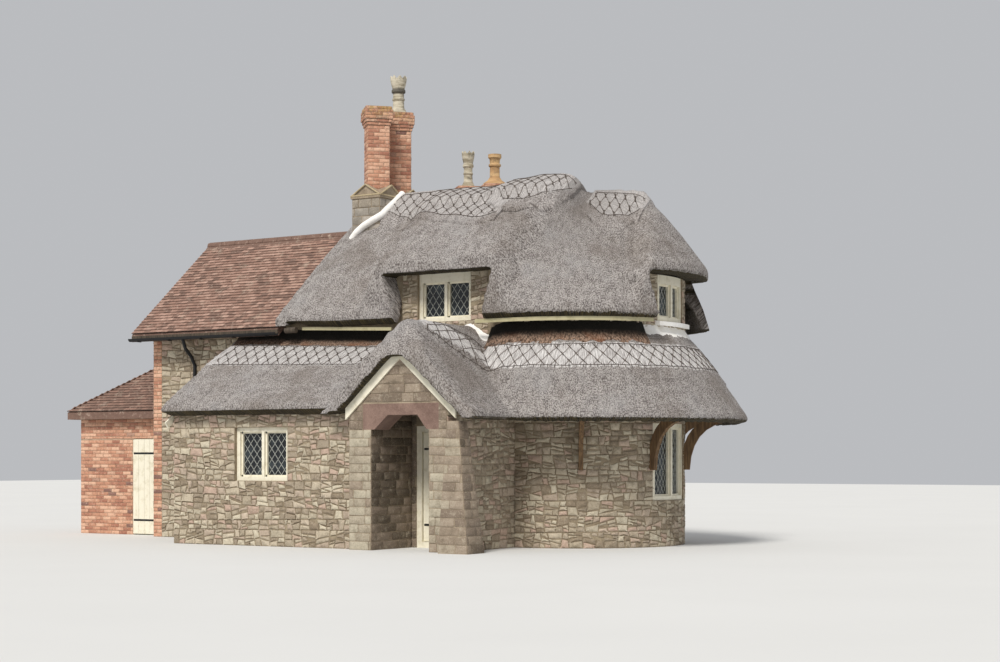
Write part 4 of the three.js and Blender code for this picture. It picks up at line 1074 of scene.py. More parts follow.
def lower_layers(p):
    """Whether a point of the lower thatch is dressed straw, and whether the dressed layer covers it."""
    t = wall_distance(p)
    if p.x > BEND or (p.x > -0.1 and p.y > -0.75):
        return float(BAND_TOP - 0.03 < t < BAND_FOOT + 0.02), float(t < BAND_EDGE)
    if p.x > PORCH_AXIS:
        shares = [k / 12 for k in range(13)]
        flank = [on_path(FLANK_TOP, share).lerp(on_path(FLANK_FOOT, share), 0.5) for share in shares]
        near = min((Vector((p.x, p.y)) - q).length for q in flank) < 0.17
        return float(near), float(near)
    if p.x < PORCH_AXIS - 0.9 and p.y < 0:
        return 0.75 * float(LEAN_TOP - 0.03 < t < LEAN_FOOT + 0.02), float(t < LEAN_EDGE)
    return 0.0, 0.0


class COTTAGE_OT_lower_thatch(bpy.types.Operator):
    """Grow the thatch over the lean-to, the porch and the round end"""
    bl_idname = "cottage.lower_thatch"
    bl_label = "Lower thatch"

    def execute(self, context):
        settings = context.scene.cottage_thatch
        nodes = ["lean_to_thatch", "porch_thatch", "skirt_thatch"]
        roof = skin(house_copy(*nodes), settings.voxel, 5.0)
        roof.normal_update()
        for v in roof.verts:
            if v.normal.z > 0.3:
                v.co += v.normal * LAYER * lower_layers(v.co)[1]
        comb(roof, lower_straw, lambda p: lower_layers(p)[0])

        dark, pale, packing, white = bmesh.new(), bmesh.new(), bmesh.new(), bmesh.new()
        end = math.pi * (ROUND + 0.5) + 0.06
        band = Lattice(roof, band_place)
        band.line(0.9, skirt_u(-12), 0.19, band.pale)
        lean_to = Lattice(roof, lean_place, skew=SKEW)
        for lattice, left, right, top, foot, tall, first in (
            (band, -FLANK, end, BAND_TOP, BAND_FOOT, 0.098, 0.052),
            (lean_to, -5.95, -1.75, LEAN_TOP, LEAN_FOOT, 0.22, 0.12),
        ):
            lattice.stitched(left, right, top)
            lattice.stitched(left, right, foot)
            lattice.crossed(left, right, top, foot, DIAMOND, tall, first)
            lattice.gather(dark, pale, settings.spar)

        bed = Lattice(roof, skirt_place, lift=0)
        front = Lattice(roof, lean_place, lift=0)

        def leaning(surface, u0, u1, high, reach):
            """Where straw or mortar lies that leans on the wall, high there and nothing at its reach."""
            def place(across, down):
                u = u0 + (u1 - u0) * across
                t = reach * down
                x, y = surface.place(u, t)
                hit = surface.on_straw(u, max(t, 0.1))
                rise = 1.1 * max(0.0, 0.1 - t) + high * (1 - down) ** 1.6 - 0.004
                return Vector((x, y, hit.z + rise + 0.012 * noise.noise((x * 5, y * 5, t * 9))))
            return place

        def beside_dormer(across, down):
            """Where mortar lies along the porch's straw, against the wall below the dormer."""
            x = -1.25 + 1.13 * across
            heights = [front.on_straw(x + step, 0.13).z for step in (-0.16, -0.08, 0, 0.08, 0.16)]
            return Vector((x, -0.005 - 0.12 * down, sum(heights) / 5 + 0.085 - 0.1 * down))

        # Packed straw against the walls under the eaves: partly straw, partly a dark strip of painted shade
        # over the stones there
        for columns, surface, u0, u1, reach in (
            (60, front, LEAN_LEFT - 0.02, -2.0, 0.3),
            (70, bed, -0.6, skirt_u(-25), 0.28),
            (70, bed, skirt_u(40), end, 0.28),
        ):
            sheet(packing, columns, 8, leaning(surface, u0, u1, 0.13, reach), 0.07)
        # Painted shade: the packing is marked black up to 0.11 m from the wall's face, fading out by 0.21 m
        deep = packing.verts.layers.float.new("deep")
        for v in packing.verts:
            v[deep] = clamp((0.21 - wall_distance(v.co)) / 0.1)
        sheet(white, 40, 6, leaning(bed, skirt_u(-27), skirt_u(42), 0.06, 0.14), 0.05)
        sheet(white, 30, 6, beside_dormer, 0.04)
        make_piece("lower_spars", dark, "hazel")
        make_piece("lower_strands", pale, "bleached_hazel")
        make_piece("eaves_packing", packing, "packing")
        make_piece("thatch_fillets", white, "fillet")
        make_piece("lower_thatch_straw", roof, "thatch", sharp=None, stands_for=nodes)
        return {"FINISHED"}


# Stone walls

def window_hole(node, origin, sign=1):
    """A window's hole on a wall, measured from origin to the right, or to the left if sign is -1."""
    low, high = span(node)
    edges = sorted([sign * (low.x - origin), sign * (high.x - origin)])
    return edges[0], edges[1], low.z, high.z


class COTTAGE_OT_rubble_walls(bpy.types.Operator):
    """Build the rubble stones of the house, the lean-to and the round end"""
    bl_idname = "cottage.rubble_walls"
    bl_label = "Rubble walls"

    def execute(self, context):
        settings = context.scene.cottage_stone
        stones = dict(size=(settings.stone_length, settings.stone_height), joint=settings.joint)
        small = dict(size=(0.2, 0.12), joint=settings.joint)

        bm = bmesh.new()
        front = plane((LEFT, 0, 0), RIGHT)
        corner = (0, QUOIN, 0, WING_TOP)
        rubble(bm, front, LEAN_LEFT - LEFT, 0, WING_TOP, holes=[corner], seed=11, **stones)
        beside = -2.15
        dormer = window_hole("dormer_window", beside)
        rubble(bm, plane((beside, 0, 0), RIGHT), 1.9, 3.8, 5.1, holes=[dormer], seed=12, **small)
        low, high = span("gable_window")
        slope = (span("tiled_roof")[1].z - 0.25 - WING_TOP) / MIDDLE
        clips = [((0, WING_TOP), (-slope, 1)), ((DEPTH, WING_TOP), (slope, 1))]
        hole = (DEPTH - high.y, DEPTH - low.y, low.z, high.z)
        gable = plane((LEFT, DEPTH, 0), FORWARDS)
        rubble(bm, gable, DEPTH, 0, 6.0, holes=[hole], clips=clips, seed=13, **stones)
        holes = [
            window_hole("rear_dormer_window", BEND, -1),
            window_hole("rear_window", BEND, -1),
            (BEND - STACK_HIGH.x, BEND - STACK_LOW.x, 0, 5.2),
        ]
        back = plane((BEND, DEPTH, 0), LEFTWARDS)
        rubble(bm, back, BEND - LEFT, 0, WING_TOP, holes=holes, seed=14, **stones)
        make_piece("house_stones", bm, "rubble")

        bm = bmesh.new()
        low, high = span("round_end_lower_window")
        straight = BEND - PORCH_RIGHT
        around = math.pi * ROUND
        hole = (end_u(-LOWER_HALF) + straight, end_u(LOWER_HALF) + straight, low.z, high.z)

        def lower(p):
            """Round the end, after a straight piece of wall beside the porch."""
            return end_wall(Vector((p.x - straight, p.y, p.z)))

        rubble(bm, lower, straight + around, 0, 2.5, holes=[hole], seed=15, **stones)
        low, high = span("round_end_upper_window")
        holes = [
            (end_u(-UPPER_HALF), end_u(UPPER_HALF), low.z, high.z),
            (0, end_u(-27), 4.3, 5.1),
            (end_u(27), around, 4.3, 5.1),
        ]
        rubble(bm, end_wall, around, 3.8, 5.0, holes=holes, seed=16, **small)
        make_piece("round_end_stones", bm, "rubble")

        bm = bmesh.new()
        hole = window_hole("lean_to_window", LEAN_LEFT)
        front = plane((LEAN_LEFT, LEAN_FRONT, 0), RIGHT)
        rubble(bm, front, PORCH_LEFT - LEAN_LEFT, 0, 2.6, holes=[hole], seed=17, **stones)
        eave, top = 2.45, 3.55
        slope = (top - eave) / LEAN_FRONT
        end = plane((LEAN_LEFT, 0, 0), FORWARDS)
        rubble(bm, end, -LEAN_FRONT, 0, top, clips=[((0, top), (-slope, 1))], seed=18, **stones)
        rubble(bm, plane((PORCH_RIGHT, PORCH_FRONT, 0), BACK), -PORCH_FRONT, 0, 2.6, seed=19, **stones)
        make_piece("lean_to_stones", bm, "rubble")
        return {"FINISHED"}


def sides(low, high):
    """The four upright faces of a box, each as how to put things on it and its width."""
    wide, deep = high.x - low.x, high.y - low.y
    return [
        (plane((low.x, low.y, 0), RIGHT), wide),
        (plane((high.x, low.y, 0), BACK), deep),
        (plane((high.x, high.y, 0), LEFTWARDS), wide),
        (plane((low.x, high.y, 0), FORWARDS), deep),
    ]


class COTTAGE_OT_porch_stones(bpy.types.Operator):
    """Lay the squared stones of the porch, its buttress and the chimney's base"""
    bl_idname = "cottage.porch_stones"
    bl_label = "Porch and chimney stones"

    def execute(self, context):
        bm = bmesh.new()
        stones = dict(unit=0.36, tall=0.155, joint=0.012, rounding=0.018, proud=(0.002, 0.009), vary=0.4)
        lintel, lintel_end = span("porch_lintel")
        opening = span("porch_left_pier")[1].x, span("porch_right_pier")[0].x
        roof = span("porch_gable")[1].z
        doorway = (opening[0] - PORCH_LEFT, opening[1] - PORCH_LEFT, 0, lintel.z)
        hole = (lintel.x - PORCH_LEFT, lintel_end.x - PORCH_LEFT, lintel.z, lintel_end.z)
        axis = PORCH_AXIS - PORCH_LEFT
        clips = [((axis, roof), (0.9, 1)), ((axis, roof), (-0.9, 1))]
        face = plane((PORCH_LEFT, PORCH_FRONT, 0), RIGHT)
        wide = PORCH_RIGHT - PORCH_LEFT
        deep = 1.25
        low, high = span("porch_back_wall")
        back = plane((low.x, low.y, 0), RIGHT)
        # The tones paint light and shade: the piers below the lintel take the lighter tones, the gable under
        # the hood darker ones, and the walls inside the porch the darkest
        painted_shade_tones = (0, 0.3)
        for seed, (put, width, foot, top, tones, cuts) in enumerate((
            (face, wide, 0, lintel.z, (0.5, 1), dict(holes=[doorway])),
            (face, wide, lintel.z, roof, (0.17, 0.6), dict(holes=[hole], clips=clips)),
            (plane((opening[0], PORCH_FRONT, 0), BACK), deep, 0, 2.75, painted_shade_tones, {}),
            (plane((opening[1], PORCH_FRONT + deep, 0), FORWARDS), deep, 0, 2.75, painted_shade_tones, {}),
            (back, high.x - low.x, 0, 3, painted_shade_tones, {}),
            (plane((PORCH_LEFT, LEAN_FRONT, 0), FORWARDS), LEAN_FRONT - PORCH_FRONT, 0, 2.5, (0.3, 1), {}),
        ), 20):
            courses(bm, put, width, foot, top, seed=seed, tones=tones, **cuts, **stones)

        # The buttress leans back, and its right side leans in
        low, high = span("porch_buttress")
        top_right = 0.545
        lean = Vector((0, PORCH_FRONT - low.y, high.z))
        rake = (high.x - top_right) / lean.length
        width = high.x - low.x
        face = plane(low, RIGHT, lean.normalized())
        clips = [((width, 0), (1, rake))]
        courses(bm, face, width, 0, lean.length, clips=clips, seed=26, tones=(0.2, 0.8), **stones)
        # The right side takes darker tones than the front, as painted shade
        lean = Vector((top_right - high.x, 0, high.z))
        rake = (PORCH_FRONT - low.y) / lean.length
        face = plane((high.x, low.y, 0), BACK, lean.normalized())
        clips = [((0, 0), (-1, rake))]
        courses(bm, face, high.y - low.y, 0, lean.length, clips=clips, seed=27, tones=(0.1, 0.5), **stones)
        for v in bm.verts:
            v.co.y = max(v.co.y, low.y + LEAST)
        make_piece("porch_stones", bm, "ashlar")

        bm = bmesh.new()
        low, high = span("front_chimney_base")
        proud = Vector((0.025, 0.025, 0))
        stones = dict(unit=0.34, tall=0.17, joint=0.014, rounding=0.012, proud=(0.003, 0.012), vary=0.3)
        for seed, (put, width) in enumerate(sides(low + proud, high - proud), 31):
            courses(bm, put, width, 5.6, 6.79, seed=seed, **stones)
        make_piece("chimney_base_stones", bm, "chimney_stone")
        return {"FINISHED"}


# Bricks

SHAFT_SIDE = 0.44
# Courses of a chimney's cap: side added, and where they start and end as shares of the cap's height
CAP_COURSES = [(0.04, 0, 0.16), (0.08, 0.16, 0.32), (0.12, 0.32, 0.82), (0.08, 0.82, 0.98)]


def shaft_bricks(bm, x, y, low, cap, top, brick, seed):
    """Bricks on the four faces of a shaft that stands cornerwise, and on the courses of its cap."""
    tall = top - cap
    rings = [(added, cap + start * tall, cap + end * tall) for added, start, end in CAP_COURSES]
    for ring, (added, z0, z1) in enumerate([(0, low, cap), *rings]):
        half = (SHAFT_SIDE + added) / 2
        for k in range(4):
            turn = Matrix.Rotation(math.radians(45 + 90 * k), 3, "Z")
            origin = Vector((x, y, 0)) + turn @ Vector((-half, -half, 0))
            put = plane(origin, turn @ Vector(RIGHT))
            courses(bm, put, 2 * half, z0, z1, seed=seed + 10 * ring + k, **brick)


class COTTAGE_OT_brickwork(bpy.types.Operator):
    """Lay the bricks of the chimneys, the outbuilding and the corners"""
    bl_idname = "cottage.brickwork"
    bl_label = "Brickwork"

    def execute(self, context):
        settings = context.scene.cottage_brick
        brick = dict(unit=settings.length, tall=settings.height, joint=settings.joint,
                     proud=(0.002, 0.007), vary=0.04)
        bm = bmesh.new()
        x, y, low, top = centre("front_chimney_shafts")
        for i, side in enumerate((-0.375, 0.375)):
            shaft_bricks(bm, x, y + side, low - 0.06, 8.28, top, brick, 100 + 50 * i)
        x, y, low, top = centre("rear_chimney")
        for i, side in enumerate((-0.33, 0.33)):
            shaft_bricks(bm, x + side, y, 6.36, 6.99, top, brick, 200 + 50 * i)
        make_piece("chimney_bricks", bm, "chimney_bricks")

        # All sides of the rear stack but its front, which lies inside the house
        bm = bmesh.new()
        for seed, (put, width) in enumerate(sides(STACK_LOW, STACK_HIGH)[1:], 301):
            courses(bm, put, width, 0, STACK_HIGH.z, seed=seed, **brick)
        left = span("outbuilding_left_wall")[0].x
        low, high = span("outbuilding_door")
        hole = (low.x - left - 0.02, high.x - left + 0.01, 0, high.z + 0.01)
        for seed, (put, width, top, holes) in enumerate((
            (plane((left, SHED_FRONT, 0), RIGHT), LEFT - left, SHED_TOP, [hole]),
            (plane((left, SHED_BACK, 0), FORWARDS), SHED_BACK - SHED_FRONT, SHED_TOP, []),
            (plane((LEFT, SHED_BACK, 0), LEFTWARDS), LEFT - left, SHED_TOP, []),
            (plane((LEFT, 0, 0), RIGHT), QUOIN, WING_TOP, []),
        ), 310):
            courses(bm, put, width, 0, top, holes=holes, seed=seed, **brick)
        make_piece("house_bricks", bm, "brickwork")
        return {"FINISHED"}


# Tiles

# A tile's thickness, half the gap between two, how high its middle lies and how far it leans
TILE_THICK = 0.016
TILE_GAP = 0.0015
TILE_LIFT = 0.019
TILE_LEAN = -0.14


def tile_slope(bm, put, width, length, tile, gauge, seed, taper=0.0, tones=(0, 1)):
    """Overlapping plain tiles up a slope, whose sides lean in by taper for each metre up."""
    rng = random.Random(seed)
    tone = bm.faces.layers.float.get("tone") or bm.faces.layers.float.new("tone")
    rows = round(length / gauge)
    step = length / rows
    for row in range(rows):
        low = row * step
        shrink = taper * (low + step / 2)
        u = shrink - (tile / 2 if row % 2 else 0)
        while u < width - shrink:
            start = max(u, shrink) + TILE_GAP
            end = min(u + tile, width - shrink) - TILE_GAP
            u += tile
            if end - start < 0.03:
                continue
            over = min(2.1 * step, length - low)
            lean = Matrix.Rotation(TILE_LEAN + rng.uniform(-0.02, 0.015), 4, "X")
            lean = Matrix.Rotation(rng.uniform(-0.02, 0.02), 4, "Y") @ lean
            lean = Matrix.Rotation(rng.uniform(-0.012, 0.012), 4, "Z") @ lean
            middle = Vector(((start + end) / 2, low + over / 2 + rng.uniform(-0.004, 0.002), TILE_LIFT))
            half = Vector((end - start, over, TILE_THICK)) / 2
            made = block(bm, middle - half, middle + half, lean)
            shade = rng.uniform(*tones)
            faces = {f for v in made for f in v.link_faces}
            # The butt, the face that looks down the slope, takes tone -1 for painted shade
            butt = min(faces, key=lambda f: f.calc_center_median().y)
            for face in faces:
                face[tone] = -1.0 if face is butt else shade
            for v in made:
                v.co = put(v.co)


class COTTAGE_OT_tiles(bpy.types.Operator):
    """Hang the clay tiles of the wing and the outbuilding"""
    bl_idname = "cottage.tiles"
    bl_label = "Clay tiles"

    def execute(self, context):
        settings = context.scene.cottage_tiles
        tile = dict(tile=settings.width, gauge=settings.gauge)

        def slopes(low, high, eave, peak):
            """Width and length of a roof's two slopes, and for each its origin, direction and way up."""
            run, rise = MIDDLE - low.y, peak - eave
            length = math.hypot(run, rise)
            front = (low.x, low.y, eave), RIGHT, Vector((0, run, rise)) / length
            back = (high.x, high.y, eave), LEFTWARDS, Vector((0, -run, rise)) / length
            return high.x - low.x, length, [front, back]

        bm = bmesh.new()
        low, high = span("tiled_roof")
        width, length, faces = slopes(low, high, 4.15, 6.2)
        for seed, face in zip((41, 42), faces):
            tile_slope(bm, plane(*face), width, length - 0.1, seed=seed, **tile)
        y, z = MIDDLE, high.z - 0.06
        count = 10
        long = width / count
        starts = [low.x + long * i for i in range(count)]
        rods(bm, [[(x + 0.004, y, z), (x + long - 0.004, y, z)] for x in starts], 0.09, 2)
        make_piece("wing_tiles", bm, "clay_tile", sharp=25)

        bm = bmesh.new()
        low, high = span("outbuilding_roof")
        eave = 2.6
        hip = 1.75
        width, length, faces = slopes(low, high, eave, high.z)
        for face, edge, way in zip(faces, (0, width), (-1, 1)):
            part = bmesh.new()
            tile_slope(part, lambda p: p, width, length - 0.05, seed=43, tones=(0, 0.4), **tile)
            geom = part.faces[:] + part.edges[:] + part.verts[:]
            cut = bmesh.ops.bisect_plane(
                part, geom=geom, dist=1e-6, plane_co=(edge, 0, 0), plane_no=(way, hip / length, 0),
                clear_outer=True,
            )
            rim = [g for g in cut["geom_cut"] if isinstance(g, bmesh.types.BMEdge)]
            bmesh.ops.holes_fill(part, edges=rim, sides=0)
            place_wall(bm, part, plane(*face))
        run, rise = MIDDLE - low.y, high.z - eave
        length = math.hypot(hip, rise)
        up = Vector((hip, 0, rise)) / length
        put = plane((low.x, high.y, eave), FORWARDS, up)
        tile_slope(bm, put, 2 * run, length - 0.05, seed=45, taper=run / length, tones=(0, 0.4), **tile)
        for v in bm.verts:
            v.co.x = max(v.co.x, low.x + LEAST)
        make_piece("outbuilding_tiles", bm, "clay_tile", sharp=25)
        return {"FINISHED"}


# Windows

def bar(bm, put, start, end, thick, low, high):
    """A straight bar between two flat places, from w = low to high."""
    start, end = Vector(start), Vector(end)
    way = end - start
    made = bmesh.ops.create_cube(bm, size=1)["verts"]
    bmesh.ops.scale(bm, verts=made, vec=(way.length, thick, high - low))
    turn = Matrix.Rotation(math.atan2(way.y, way.x), 3, "Z")
    bmesh.ops.rotate(bm, verts=made, cent=(0, 0, 0), matrix=turn)
    middle = (start + end) / 2
    for v in made:
        v.co = put(v.co + Vector((middle.x, middle.y, (low + high) / 2)))


def leaded_light(frames, leads, put, u0, u1, v0, v1, depth, diamond):
    """A casement's thin inner frame, and diamonds of lead on its glass at w = depth."""
    rim, lead = 0.032, 0.009
    pieces = max(1, round((u1 - u0) / 0.12))
    us = [u0 + (u1 - u0) * i / pieces for i in range(pieces + 1)]
    rails = [((a, v), (b, v)) for a, b in zip(us, us[1:]) for v in (v0 + rim / 2, v1 - rim / 2)]
    stiles = [((u, v0), (u, v1)) for u in (u0 + rim / 2, u1 - rim / 2)]
    for start, end in rails + stiles:
        bar(frames, put, start, end, rim, depth + 0.004, depth + 0.045)
    a, b, c, d = u0 + rim, u1 - rim, v0 + rim, v1 - rim
    wide = max(2, round((b - a) / diamond[0]))
    tall = max(2, round((d - c) / diamond[1]))
    du, dv = (b - a) / wide / 2, (d - c) / tall / 2
    for i in range(2 * wide):
        for j in range(2 * tall):
            foot = (i + j) % 2
            start = (a + du * i, c + dv * (j + foot))
            end = (a + du * (i + 1), c + dv * (j + 1 - foot))
            bar(leads, put, start, end, lead, depth + 0.0005, depth + 0.006)


class COTTAGE_OT_windows(bpy.types.Operator):
    """Fit casements and leaded lights into the window frames"""
    bl_idname = "cottage.windows"
    bl_label = "Windows"

    def execute(self, context):
        settings = context.scene.cottage_joinery
        diamond = (settings.diamond_width, settings.diamond_height)
        frames, leads = bmesh.new(), bmesh.new()
        edge, mullion, head = 0.075, 0.06, 0.09

        def lights(put, u0, u1, v0, v1, depth=0):
            middle = (u0 + u1) / 2
            for a, b in ((u0 + edge, middle - mullion / 2), (middle + mullion / 2, u1 - edge)):
                leaded_light(frames, leads, put, a, b, v0 + edge, v1 - edge, depth, diamond)

        for name, above in (("dormer", head), ("lean_to", 0), ("rear_dormer", head), ("rear", 0)):
            low, high = span(name + "_window")
            glass = span(name + "_glass")
            if name.startswith("rear"):
                put = plane((high.x, glass[1].y, 0), LEFTWARDS)
            else:
                put = plane((low.x, glass[0].y, 0), RIGHT)
            lights(put, 0, high.x - low.x, low.z, high.z - above)
        low, high = span("gable_window")
        put = plane((span("gable_glass")[0].x, high.y, 0), FORWARDS)
        lights(put, 0, high.y - low.y, low.z, high.z)
        for name, half, above in (("round_end_lower", LOWER_HALF, 0), ("round_end_upper", UPPER_HALF, head)):
            low, high = span(name + "_window")
            depth = span(name + "_glass")[1].x - BEND - ROUND
            lights(end_wall, end_u(-half), end_u(half), low.z, high.z - above, depth)
        make_piece("casements", frames, "cream_wood")
        make_piece("window_leads", leads, "lead")
        return {"FINISHED"}


# Boards, fillets and small parts

class COTTAGE_OT_boards(bpy.types.Operator):
    """Fit the boards under the eaves, the gutter's brackets and the pipe's clips"""
    bl_idname = "cottage.boards"
    bl_label = "Boards and brackets"

    def execute(self, context):
        # Under the main eave: a straight board, short ones that follow the bend, and one on the left
        bm = bmesh.new()
        foot, top, count = 4.06, 4.13, 24
        block(bm, (-0.32, -0.348, foot), (BEND, -0.312, top))
        for k in range(count):
            angle = math.radians(-90 + 65 * (k + 0.5) / count)
            out = Vector((math.cos(angle), math.sin(angle), 0))
            middle = Vector((BEND, MIDDLE, (foot + top) / 2)) + out * (ROUND + 0.33)
            half = Vector((0.018, 0.059, 0.035))
            block(bm, middle - half, middle + half, Matrix.Rotation(angle, 4, "Z"))
        slant = Matrix.Rotation(math.atan2(0.085, 2.1), 4, "Y")
        block(bm, (-4.3, -0.318, 4.042), (-2.2, -0.282, 4.102), slant)
        make_piece("eaves_boards", bm, "eaves_paint")

        bm = bmesh.new()
        pitch = Matrix.Rotation(math.radians(36), 4, "X")
        block(bm, (-6.1, -2.22, 2.31), (-6.065, -1.77, 2.43), pitch)
        make_piece("lean_to_bargeboard", bm, "cream_wood")

        bm = bmesh.new()
        low, high = span("tiled_roof")
        block(bm, (low.x + 0.01, low.y - 0.022, 4.04), (high.x - 0.01, low.y - 0.001, 4.12))
        rods(bm, [[(-4.66, -0.37, 4.09), (-4.4, -0.37, 4.09)]], 0.06, 3)
        make_piece("eaves_timber", bm, "old_wood")

        # The gutter's brackets, and the clips of its pipe
        bm = bmesh.new()
        left = span("gutter_and_downpipe")[0].x
        for k in range(5):
            x = left + 0.25 + 0.84 * k
            block(bm, (x - 0.012, -0.47, 3.988), (x + 0.012, -0.352, 4.0))
        for z in (0.7, 1.9, 3.1):
            block(bm, (-7.335, -0.125, z - 0.02), (-7.205, -0.002, z + 0.02))
        make_piece("gutter_brackets", bm, "black_iron")
        return {"FINISHED"}


class COTTAGE_OT_fillets(bpy.types.Operator):
    """Spread the white mortar fillets beside the windows and up the chimney"""
    bl_idname = "cottage.fillets"
    bl_label = "Mortar fillets"

    def execute(self, context):
        bm = bmesh.new()

        def sill(across, down):
            angle = math.radians(-16 + 32 * across)
            out = Vector((math.cos(angle), math.sin(angle), 0)) * (ROUND - 0.02 + 0.15 * down)
            return Vector((BEND, MIDDLE, 4.12 - 0.02 * down)) + out

        sheet(bm, 24, 4, sill, 0.08)
        # Along the straw's edge in front of the chimney's base, and up its right side
        front = ((-4.3, 6.0), (-4.18, 6.13), (-4.0, 6.25), (-3.8, 6.34), (-3.6, 6.42))
        side = ((1.346, 6.46), (1.482, 6.56), (1.757, 6.75), (2.036, 6.95))
        rods(bm, [[(x, 1.28, z) for x, z in front] + [(-3.59, y, z) for y, z in side]], 0.07, 3)
        make_piece("fillets", bm, "fillet")

        # Pointing along the edges of the chimney's gablets and below them
        bm = bmesh.new()
        low, high = span("front_chimney_base")
        foot, peak, inset = 6.87, high.z - 0.01, 0.03
        y, x = low.y + 0.004, high.x - 0.004
        middle = (low.x + high.x) / 2
        front = [(low.x + inset, foot), (middle, peak), (high.x - inset, foot)]
        side = [(low.y + inset, foot), (1.685, peak), (2.06, foot), (2.435, peak), (high.y - inset, foot)]
        below = foot - 0.008
        lines = [
            [(u, y, z) for u, z in front],
            [(x, u, z) for u, z in side],
            [(low.x, y, below), (high.x, y, below)],
            [(x, low.y, below), (x, high.y, below)],
        ]
        rods(bm, lines, 0.016, 1)
        make_piece("chimney_pointing", bm, "pointing")
        return {"FINISHED"}


# A pot's radii and heights up the outside, then down the inside
CROWN_PROFILE = [
    (0.18, 0), (0.165, 0.04), (0.118, 0.12), (0.112, 0.26), (0.127, 0.275), (0.127, 0.305), (0.112, 0.32),
    (0.112, 0.41), (0.142, 0.435), (0.142, 0.48), (0.122, 0.505), (0.15, 0.6), (0.167, 0.69), (0.167, 0.77),
    (0.14, 0.77), (0.11, 0.6), (0.09, 0.4), (0.09, 0),
]
BUFF_PROFILE = [
    (0.25, 0), (0.235, 0.03), (0.15, 0.09), (0.105, 0.16), (0.1, 0.36), (0.128, 0.385), (0.128, 0.42),
    (0.102, 0.44), (0.11, 0.53), (0.138, 0.56), (0.138, 0.63), (0.118, 0.63), (0.08, 0.4), (0.08, 0),
]


class COTTAGE_OT_pots(bpy.types.Operator):
    """Turn the three chimney pots"""
    bl_idname = "cottage.pots"
    bl_label = "Chimney pots"

    def execute(self, context):
        bm = bmesh.new()
        for node, wide, tall in (("front_chimney_pot", 1.0, 1.0), ("rear_chimney_crown_pot", 0.8, 0.98)):
            profile = [(radius * wide, height * tall) for radius, height in CROWN_PROFILE]
            turn_pot(bm, node, profile, points=8, notch=0.07)
        make_piece("crowned_pots", bm, "pot_clay",
                   stands_for=["front_chimney_pot", "rear_chimney_crown_pot"])
        bm = bmesh.new()
        turn_pot(bm, "rear_chimney_buff_pot", BUFF_PROFILE)
        make_piece("buff_pot", bm, "buff_clay", stands_for=["rear_chimney_buff_pot"])
        return {"FINISHED"}


class COTTAGE_OT_doors(bpy.types.Operator):
    """Face the two doors with planks and hang iron on them"""
    bl_idname = "cottage.doors"
    bl_label = "Door planks"

    def execute(self, context):
        inset, gap = 0.014, 0.003
        for body, planks in (("front_door", 6), ("outbuilding_door", 5)):
            low, high = span(body)
            face = low.y
            left, right = low.x + inset, high.x - inset
            foot, top = low.z + inset, high.z - inset
            wide = (right - left) / planks
            bm = bmesh.new()
            for i in range(planks):
                x = left + wide * i
                block(bm, (x + gap, face - 0.006, foot), (x + wide - gap, face + 0.002, top))
            make_piece(body + "_planks", bm, "cream_wood", body=body)
            bm = bmesh.new()
            for z in (low.z + 0.3, high.z - 0.3):
                block(bm, (left + 0.02, face - 0.01, z - 0.02), (right - 0.18, face - 0.005, z + 0.02))
            block(bm, (right - 0.1, face - 0.014, 1.02), (right - 0.06, face - 0.005, 1.2))
            make_piece(body + "_iron", bm, "black_iron", body=body)
        return {"FINISHED"}


class COTTAGE_OT_finishes(bpy.types.Operator):
    """Give every solid the finish of its slot"""
    bl_idname = "cottage.finishes"
    bl_label = "Finishes"

    def execute(self, context):
        for part in frame["record"]["subparts"]:
            piece = frame["nodes"][part["node"]]
            piece.data.materials.clear()
            piece.data.materials.append(finish_for(part["material_slot"]))
        return {"FINISHED"}


class COTTAGE_OT_stage(bpy.types.Operator):
    """Set the floor, the lights and the camera"""
    bl_idname = "cottage.stage"
    bl_label = "Stage"

    def execute(self, context):
        scene = context.scene
        scene.view_settings.view_transform = "Standard"
        mesh = bpy.data.meshes.new("floor")
        bm = bmesh.new()
        bmesh.ops.create_grid(bm, x_segments=1, y_segments=1, size=80)
        bm.to_mesh(mesh)
        bm.free()
        floor = bpy.data.objects.new("floor", mesh)
        scene.collection.objects.link(floor)
        finish = Finish("Pale floor", (214, 214, 212), Roughness=0.9)
        finish.lay(finish.noise(0.3), (220, 220, 218))
        finish.set("Base Color", finish.colour)
        mesh.materials.append(finish.material)

        world = bpy.data.worlds.new("Soft sky")
        world.use_nodes = True
        background = world.node_tree.nodes["Background"]
        background.inputs["Color"].default_value = paint(234, 236, 240)
        background.inputs["Strength"].default_value = 0.6
        scene.world = world

        sun = bpy.data.lights.new("Key", "SUN")
        sun.energy = 2.9
        sun.angle = math.radians(18)
        sun.color = (1.0, 0.965, 0.91)
        key = bpy.data.objects.new("Key", sun)
        key.rotation_euler = (math.radians(42), 0, math.radians(12))
        scene.collection.objects.link(key)

        lens = bpy.data.cameras.new("Camera")
        lens.sensor_width = 36
        lens.lens = 64.8
        lens.shift_y = 0.128
        camera = bpy.data.objects.new("Camera", lens)
        camera.location = HOUSE + Vector((17.33, -27.73, 1.6))
        camera.rotation_euler = (math.radians(90), 0, math.radians(32))
        scene.collection.objects.link(camera)
        scene.camera = camera
        return {"FINISHED"}


# Settings, panel and registration

def metres(name, description, default, least):
    return FloatProperty(
        name=name, description=description, default=default, min=least, subtype="DISTANCE", unit="LENGTH",
    )


class CottageThatch(bpy.types.PropertyGroup):
    """Sizes and colour of the thatch"""
    voxel: metres("Straw grain", "Spacing of the thatch's surface points", 0.05, 0.03)
    spar: metres("Spar radius", "Radius of the hazel spars", 0.0065, 0.003)
    straw: FloatVectorProperty(
        name="Straw", description="Colour of the weathered straw", default=(0.8, 0.775, 0.758),
        min=0, max=1, size=3, subtype="COLOR_GAMMA",
    )


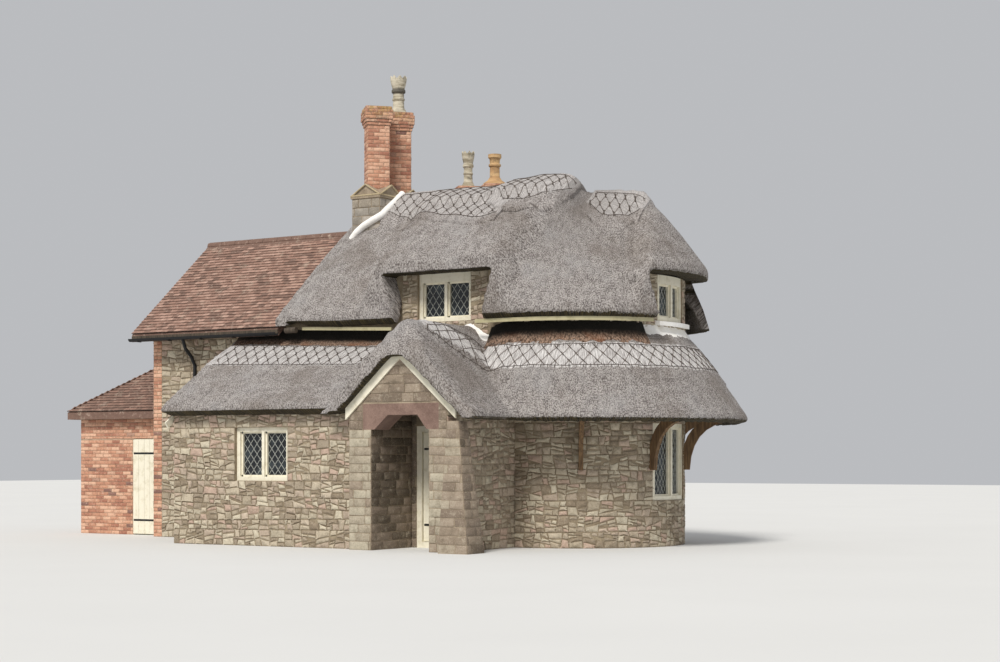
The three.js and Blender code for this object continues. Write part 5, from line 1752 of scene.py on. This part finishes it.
class CottageStone(bpy.types.PropertyGroup):
    """Sizes of the rubble stones"""
    stone_length: metres("Stone length", "Usual length of a rubble stone", 0.27, 0.1)
    stone_height: metres("Stone height", "Usual height of a rubble stone", 0.145, 0.06)
    joint: metres("Joint", "Width of the mortar joints", 0.022, 0.005)


class CottageBrick(bpy.types.PropertyGroup):
    """Sizes of the bricks"""
    length: metres("Brick length", "Length of a brick and one joint", 0.225, 0.1)
    height: metres("Course", "Height of a brick and one joint", 0.075, 0.04)
    joint: metres("Joint", "Width of the joints", 0.01, 0.004)


class CottageTiles(bpy.types.PropertyGroup):
    """Sizes of the clay tiles"""
    width: metres("Tile width", "Width of a tile", 0.165, 0.1)
    gauge: metres("Gauge", "How much of each tile shows", 0.1, 0.06)


class CottageJoinery(bpy.types.PropertyGroup):
    """Sizes of the leaded lights"""
    diamond_width: metres("Diamond width", "Width of a pane of a leaded light", 0.13, 0.05)
    diamond_height: metres("Diamond height", "Height of a pane of a leaded light", 0.19, 0.05)


SETTINGS = {
    "cottage_thatch": CottageThatch,
    "cottage_stone": CottageStone,
    "cottage_brick": CottageBrick,
    "cottage_tiles": CottageTiles,
    "cottage_joinery": CottageJoinery,
}

OPERATORS = [
    COTTAGE_OT_finishes,
    COTTAGE_OT_upper_thatch,
    COTTAGE_OT_lower_thatch,
    COTTAGE_OT_rubble_walls,
    COTTAGE_OT_porch_stones,
    COTTAGE_OT_brickwork,
    COTTAGE_OT_tiles,
    COTTAGE_OT_windows,
    COTTAGE_OT_boards,
    COTTAGE_OT_fillets,
    COTTAGE_OT_pots,
    COTTAGE_OT_doors,
    COTTAGE_OT_stage,
]


class COTTAGE_PT_panel(bpy.types.Panel):
    """Settings and steps of the cottage"""
    bl_idname = "COTTAGE_PT_panel"
    bl_label = "Thatched cottage"
    bl_space_type = "VIEW_3D"
    bl_region_type = "UI"
    bl_category = "Cottage"

    def draw(self, context):
        layout = self.layout
        for name, group in SETTINGS.items():
            column = layout.column(align=True)
            settings = getattr(context.scene, name)
            for key in group.__annotations__:
                column.prop(settings, key)
        for operator in OPERATORS:
            layout.operator(operator.bl_idname)


def register():
    for name, group in SETTINGS.items():
        bpy.utils.register_class(group)
        setattr(bpy.types.Scene, name, PointerProperty(type=group))
    for item in [*OPERATORS, COTTAGE_PT_panel]:
        bpy.utils.register_class(item)


def unregister():
    for item in reversed([*OPERATORS, COTTAGE_PT_panel]):
        bpy.utils.unregister_class(item)
    for name, group in reversed(list(SETTINGS.items())):
        delattr(bpy.types.Scene, name)
        bpy.utils.unregister_class(group)


def main():
    register()
    for operator in OPERATORS:
        getattr(bpy.ops.cottage, operator.bl_idname.split(".")[1])()


if __name__ == "__main__":
    main()
